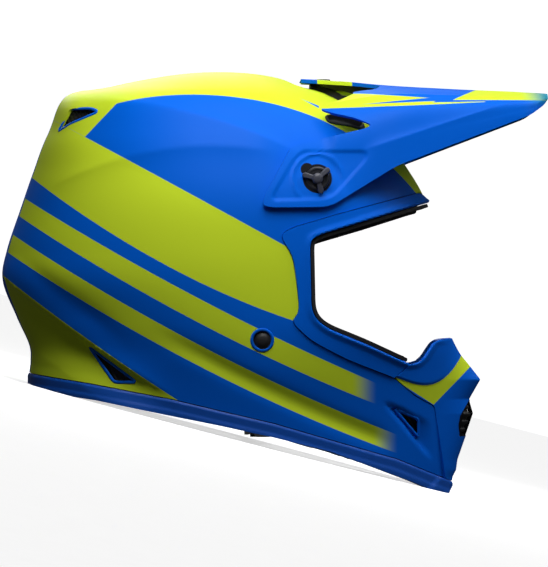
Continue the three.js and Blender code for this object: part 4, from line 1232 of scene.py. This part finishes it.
def make_mount():
    """The pedestal between the crown and the visor's tongue."""
    crown = shell_points(np.linspace(0.02, 0.5, 200), np.full(200, 0.001))
    bm = bmesh.new()
    rings = []
    for x, half in ((60.5, 7), (62, 10), (70, 12), (80, 12.5), (90, 12), (98, 10), (101.5, 6)):
        low = np.interp(x, crown[:, 0], crown[:, 2]) - 2.4
        tongue = np.interp(x, VISOR_STATIONS[:, 0], VISOR_STATIONS[:, 1])
        top = tongue - VISOR_WALL - 1.1 - 0.105 * max(x - PIVOT[0], 0) - (0.8 if x in (60.5, 101.5) else 0)
        side = [(-half, low), (-half * 0.97, top - 2.2), (-half * 0.8, top - 0.4), (-half * 0.4, top)]
        ring = side + [(-y, z) for y, z in reversed(side)]
        rings.append([bm.verts.new(to_row((x, y, z))) for y, z in ring])
    bridge(bm, rings)
    bmesh.ops.recalc_face_normals(bm, faces=bm.faces)
    obj = bevel_edges(mesh_object("crown_pedestal", bm), 0.0006, 3, 25)
    return finish_piece(obj, "helmet", "black_plastic", material("pedestal"), "crown_mount")


def make_ribs():
    """Two stiffening ribs under the tongue, one on each side of the pedestal."""
    bm = bmesh.new()
    for s in (-1, 1):
        rings = []
        for x, deep in ((66, 1.2), (72, 3.4), (86, 5.2), (97, 7.4), (104, 7.0), (107, 3.0)):
            root = np.interp(x, VISOR_STATIONS[:, 0], VISOR_STATIONS[:, 1]) - VISOR_WALL - 0.2
            section = ((15, root), (15.4, root - deep), (17.4, root - deep), (18, root))
            rings.append([bm.verts.new(to_row((x, s * y, z))) for y, z in section])
        bridge(bm, rings)
    bmesh.ops.recalc_face_normals(bm, faces=bm.faces)
    obj = bevel_edges(mesh_object("tongue_ribs", bm), 0.0004, 2, 25)
    return finish_piece(obj, "visor", "black_plastic", material("black"))


# ---- foam and padding ----
def solid_copy(name, node, voxel, rounds=6, shrink=0.0):
    """The CAD solid as an even mesh with softened edges."""
    obj = bpy.data.objects.new(name, NODES[node].data.copy())
    bpy.context.scene.collection.objects.link(obj)
    remesh = obj.modifiers.new("Remesh", "REMESH")
    remesh.mode = "VOXEL"
    remesh.voxel_size = voxel
    if shrink:
        slim = obj.modifiers.new("Slim", "DISPLACE")
        slim.strength = -shrink
        slim.mid_level = 0
    soften = obj.modifiers.new("Soften", "SMOOTH")
    soften.iterations = rounds
    soften.factor = 0.5
    bake(obj)
    return obj


def bake(obj):
    graph = bpy.context.evaluated_depsgraph_get()
    mesh = bpy.data.meshes.new_from_object(obj.evaluated_get(graph))
    obj.modifiers.clear()
    obj.data = mesh
    mesh.polygons.foreach_set("use_smooth", [True] * len(mesh.polygons))


def puff(obj, cap, pressure=4.0, frames=20):
    """Fills a pad with a short cloth run and limits how far any point moves."""
    before = np.zeros(len(obj.data.vertices) * 3)
    obj.data.vertices.foreach_get("co", before)
    cloth = obj.modifiers.new("Cloth", "CLOTH")
    cloth.settings.use_pressure = True
    cloth.settings.uniform_pressure_force = pressure
    cloth.settings.effector_weights.gravity = 0
    cloth.settings.quality = 5
    scene = bpy.context.scene
    for number in range(1, frames + 1):
        scene.frame_set(number)
    bake(obj)
    after = np.zeros_like(before)
    obj.data.vertices.foreach_get("co", after)
    move = (after - before).reshape(-1, 3)
    size = np.linalg.norm(move, axis=1, keepdims=True)
    move *= np.minimum(1, cap / np.maximum(size, 1e-9))
    obj.data.vertices.foreach_set("co", (before.reshape(-1, 3) + move).reshape(-1))
    scene.frame_set(1)


def channels(obj, depth, lines):
    """Presses sewn channels into a pad. lines gives the distance from the nearest seam in metres."""
    co = np.zeros(len(obj.data.vertices) * 3)
    no = np.zeros_like(co)
    obj.data.vertices.foreach_get("co", co)
    obj.data.vertex_normals.foreach_get("vector", no)
    co, no = co.reshape(-1, 3), no.reshape(-1, 3)
    x = (co[:, 0] - SHIFT_X) * COS + (co[:, 2] - SHIFT_Z) * SIN
    z = -(co[:, 0] - SHIFT_X) * SIN + (co[:, 2] - SHIFT_Z) * COS
    d = lines(x * 1000, co[:, 1] * 1000, z * 1000)
    co -= no * (depth * np.exp(-(d / 1.6) ** 2))[:, None]
    obj.data.vertices.foreach_set("co", co.reshape(-1))
    obj.data.update()


def make_pad(name, node, depth, lines, voxel=0.0045, slim=0.0008):
    obj = solid_copy(name, node, voxel, 3, slim)
    puff(obj, 0.0035)
    sub = obj.modifiers.new("Round", "SUBSURF")
    sub.levels = 1
    sub.render_levels = 1
    bake(obj)
    channels(obj, depth, lines)
    finish_piece(obj, "helmet", "padding", material("knit"), node)
    return obj


def make_padding():
    def crown(x, y, z):
        return np.minimum(np.abs(np.abs(y) - 26), np.abs(z - 10) + 1e3 * (z > 30))

    def cheek(x, y, z):
        return np.abs((x - 10 + 0.4 * (z + 95)) % 26 - 13)

    make_pad("comfort_pad", "comfort_liner", 0.0022, crown)
    make_pad("cheek_pad_soft_left", "cheek_pad_left", 0.0016, cheek)
    make_pad("cheek_pad_soft_right", "cheek_pad_right", 0.0016, cheek)
    make_pad("neck_pad", "neck_roll", 0.002, lambda x, y, z: np.abs((y + 200) % 40 - 20), slim=0.003)


def make_foam():
    for name, node in (("crown_foam", "impact_liner"), ("chin_foam", "chin_liner"),
                       ("cheek_foam_left", "cheek_pad_base_left"),
                       ("cheek_foam_right", "cheek_pad_base_right")):
        obj = solid_copy(name, node, 0.003, 4, 0.0018)
        finish_piece(obj, "helmet", "foam", material("foam"), node)


def make_strap():
    for node, look, slot in (("strap_left", "webbing", "webbing"), ("strap_right", "webbing", "webbing"),
                             ("strap_ring", "steel", "steel"), ("strap_snap", "steel", "steel")):
        obj = bpy.data.objects.new(node + "_detail", NODES[node].data.copy())
        bpy.context.scene.collection.objects.link(obj)
        bevel_edges(obj, 0.0003, 2, 40)
        finish_piece(obj, "strap", slot, material(look), node)


def dress_hidden():
    """The pieces whose CAD shape is already right get their own finish."""
    looks = {"strap_anchor_left": "webbing", "strap_anchor_right": "webbing",
             "visor_insert_left": "steel", "visor_insert_right": "steel"}
    for node, look in looks.items():
        NODES[node].data.materials.clear()
        NODES[node].data.materials.append(material(look))


# ---- stage ----
def make_backdrop(name, verts, faces, glow):
    """Pale paper that doesn't tint the helmet."""
    obj = new_object(name, verts, faces)
    g = Graph(name + "_paper")
    obj.data.materials.append(g.surface((0.9, 0.9, 0.9), 0.9, g.noise(40), 0.0001, 0.02, specular=0.1))
    g.shader.inputs["Emission Color"].default_value = (1, 1, 1, 1)
    g.shader.inputs["Emission Strength"].default_value = glow
    obj.visible_diffuse = False
    obj.visible_glossy = False
    return obj


LAMPS = (
    ("key", "AREA", (-0.1, -0.42, 0.56), 2.7, 0.35),
    ("fill", "AREA", (-0.35, 0.7, 0.6), 4.0, 0.6),
    ("front", "AREA", (0.5, 0.0, 0.85), 2.6, 0.5),
    ("sky", "SUN", (0, -0.1, 1.0), 1.0, math.radians(50)),
)
CAMERA_DISTANCE = 6.0
VIEW_WIDTH = 0.40824        # metres across the picture's longer side
SENSOR = 36


def make_stage():
    scene = bpy.context.scene
    make_backdrop("floor", [(-6, -6, 0), (6, -6, 0), (6, 6, 0), (-6, 6, 0)], [(0, 1, 2, 3)], 0.6)
    count = 64
    turns = [2 * math.pi * k / count for k in range(count)]
    rim = [(9 * math.cos(a), 9 * math.sin(a), z) for z in (-0.5, 4) for a in turns]
    faces = [(k, (k + 1) % count, count + (k + 1) % count, count + k) for k in range(count)]
    sweep = make_backdrop("backdrop", rim, faces, 1.0)
    sweep.visible_shadow = False
    scene.view_settings.view_transform = "Standard"
    world = bpy.data.worlds.new("studio")
    world.use_nodes = True
    world.node_tree.nodes["Background"].inputs["Color"].default_value = (1, 1, 1, 1)
    world.node_tree.nodes["Background"].inputs["Strength"].default_value = 0.04
    scene.world = world
    for name, kind, place_at, power, size in LAMPS:
        light = bpy.data.lights.new(name, kind)
        light.energy = power
        setattr(light, "size" if kind == "AREA" else "angle", size)
        lamp = bpy.data.objects.new(name, light)
        lamp.location = place_at
        lamp.visible_camera = False
        aim = Vector(place_at) - Vector((0, 0, 0.2))
        lamp.rotation_euler = aim.to_track_quat("Z", "Y").to_euler()
        scene.collection.objects.link(lamp)
    camera = bpy.data.objects.new("camera", bpy.data.cameras.new("camera"))
    scene.collection.objects.link(camera)
    camera.data.sensor_width = SENSOR
    camera.data.lens = SENSOR * CAMERA_DISTANCE / VIEW_WIDTH
    middle = Vector(to_row((35.3, 0, -42.1)))
    camera.location = middle + Vector((0, -CAMERA_DISTANCE, 0))
    up = Vector((-SIN, 0, COS))
    back = Vector((0, -1, 0))
    right = up.cross(back)
    camera.rotation_euler = Matrix((right, up, back)).transposed().to_euler()
    camera.data.clip_end = 30
    scene.camera = camera


# ---- operators ----
class HELMET_OT_stage(bpy.types.Operator):
    """Floor, lights and camera"""

    bl_idname = "helmet.stage"
    bl_label = "Stage"

    def execute(self, context):
        make_stage()
        return {"FINISHED"}


class HELMET_OT_shell(bpy.types.Operator):
    """The painted laminate shell"""

    bl_idname = "helmet.shell"
    bl_label = "Shell"

    def execute(self, context):
        make_shell()
        return {"FINISHED"}


class HELMET_OT_surround(bpy.types.Operator):
    """The eyeport's surround and its rubber seal"""

    bl_idname = "helmet.surround"
    bl_label = "Eyeport surround"

    def execute(self, context):
        make_frame()
        make_gasket()
        return {"FINISHED"}


class HELMET_OT_trim(bpy.types.Operator):
    """The edge trim round the lower rim"""

    bl_idname = "helmet.trim"
    bl_label = "Edge trim"

    def execute(self, context):
        make_trim()
        make_backing()
        return {"FINISHED"}


class HELMET_OT_nose(bpy.types.Operator):
    """The faceted mouthpiece"""

    bl_idname = "helmet.nose"
    bl_label = "Mouthpiece"

    def execute(self, context):
        make_nose()
        make_grille()
        return {"FINISHED"}


class HELMET_OT_visor(bpy.types.Operator):
    """The peak with its arms and tongue"""

    bl_idname = "helmet.visor"
    bl_label = "Visor"

    def execute(self, context):
        make_visor()
        make_ribs()
        return {"FINISHED"}


class HELMET_OT_hardware(bpy.types.Operator):
    """Thumb screws, centre screw, plugs and crown mount"""

    bl_idname = "helmet.hardware"
    bl_label = "Hardware"

    def execute(self, context):
        for side in ("left", "right"):
            make_thumb_screw(side)
            make_rivet(side)
        make_centre_screw()
        make_mount()
        dress_hidden()
        return {"FINISHED"}


class HELMET_OT_vents(bpy.types.Operator):
    """Vent screens and brow intakes"""

    bl_idname = "helmet.vents"
    bl_label = "Vents"

    def execute(self, context):
        for side in ("left", "right"):
            make_vent("chin_screen", CHIN_VENT, side)
            make_vent("rear_lower_screen", REAR_LOWER_VENT, side)
            make_vent("rear_upper_screen", REAR_UPPER_VENT, side)
            make_scoop(side)
            make_rims(side)
        return {"FINISHED"}


class HELMET_OT_padding(bpy.types.Operator):
    """Foam liners, fabric pads and the chin strap"""

    bl_idname = "helmet.padding"
    bl_label = "Padding and strap"

    def execute(self, context):
        make_foam()
        make_padding()
        make_strap()
        return {"FINISHED"}


OPERATORS = (HELMET_OT_stage, HELMET_OT_shell, HELMET_OT_surround, HELMET_OT_trim, HELMET_OT_nose,
             HELMET_OT_visor, HELMET_OT_hardware, HELMET_OT_vents, HELMET_OT_padding)


class HELMET_PT_panel(bpy.types.Panel):
    """Lists the helmet's pieces"""

    bl_idname = "HELMET_PT_panel"
    bl_label = "Helmet"
    bl_space_type = "VIEW_3D"
    bl_region_type = "UI"
    bl_category = "Helmet"

    def draw(self, context):
        for group in (context.scene.helmet_sizes, context.scene.helmet_colours):
            for key in group.__annotations__:
                self.layout.prop(group, key)
        for operator in OPERATORS:
            self.layout.operator(operator.bl_idname)


CLASSES = (HelmetSizes, HelmetColours, *OPERATORS, HELMET_PT_panel)


def register():
    for cls in CLASSES:
        bpy.utils.register_class(cls)
    bpy.types.Scene.helmet_sizes = bpy.props.PointerProperty(type=HelmetSizes)
    bpy.types.Scene.helmet_colours = bpy.props.PointerProperty(type=HelmetColours)


def unregister():
    del bpy.types.Scene.helmet_colours
    del bpy.types.Scene.helmet_sizes
    for cls in reversed(CLASSES):
        bpy.utils.unregister_class(cls)


def main():
    register()
    for operator in OPERATORS:
        group, name = operator.bl_idname.split(".")
        getattr(getattr(bpy.ops, group), name)()


if __name__ == "__main__":
    main()
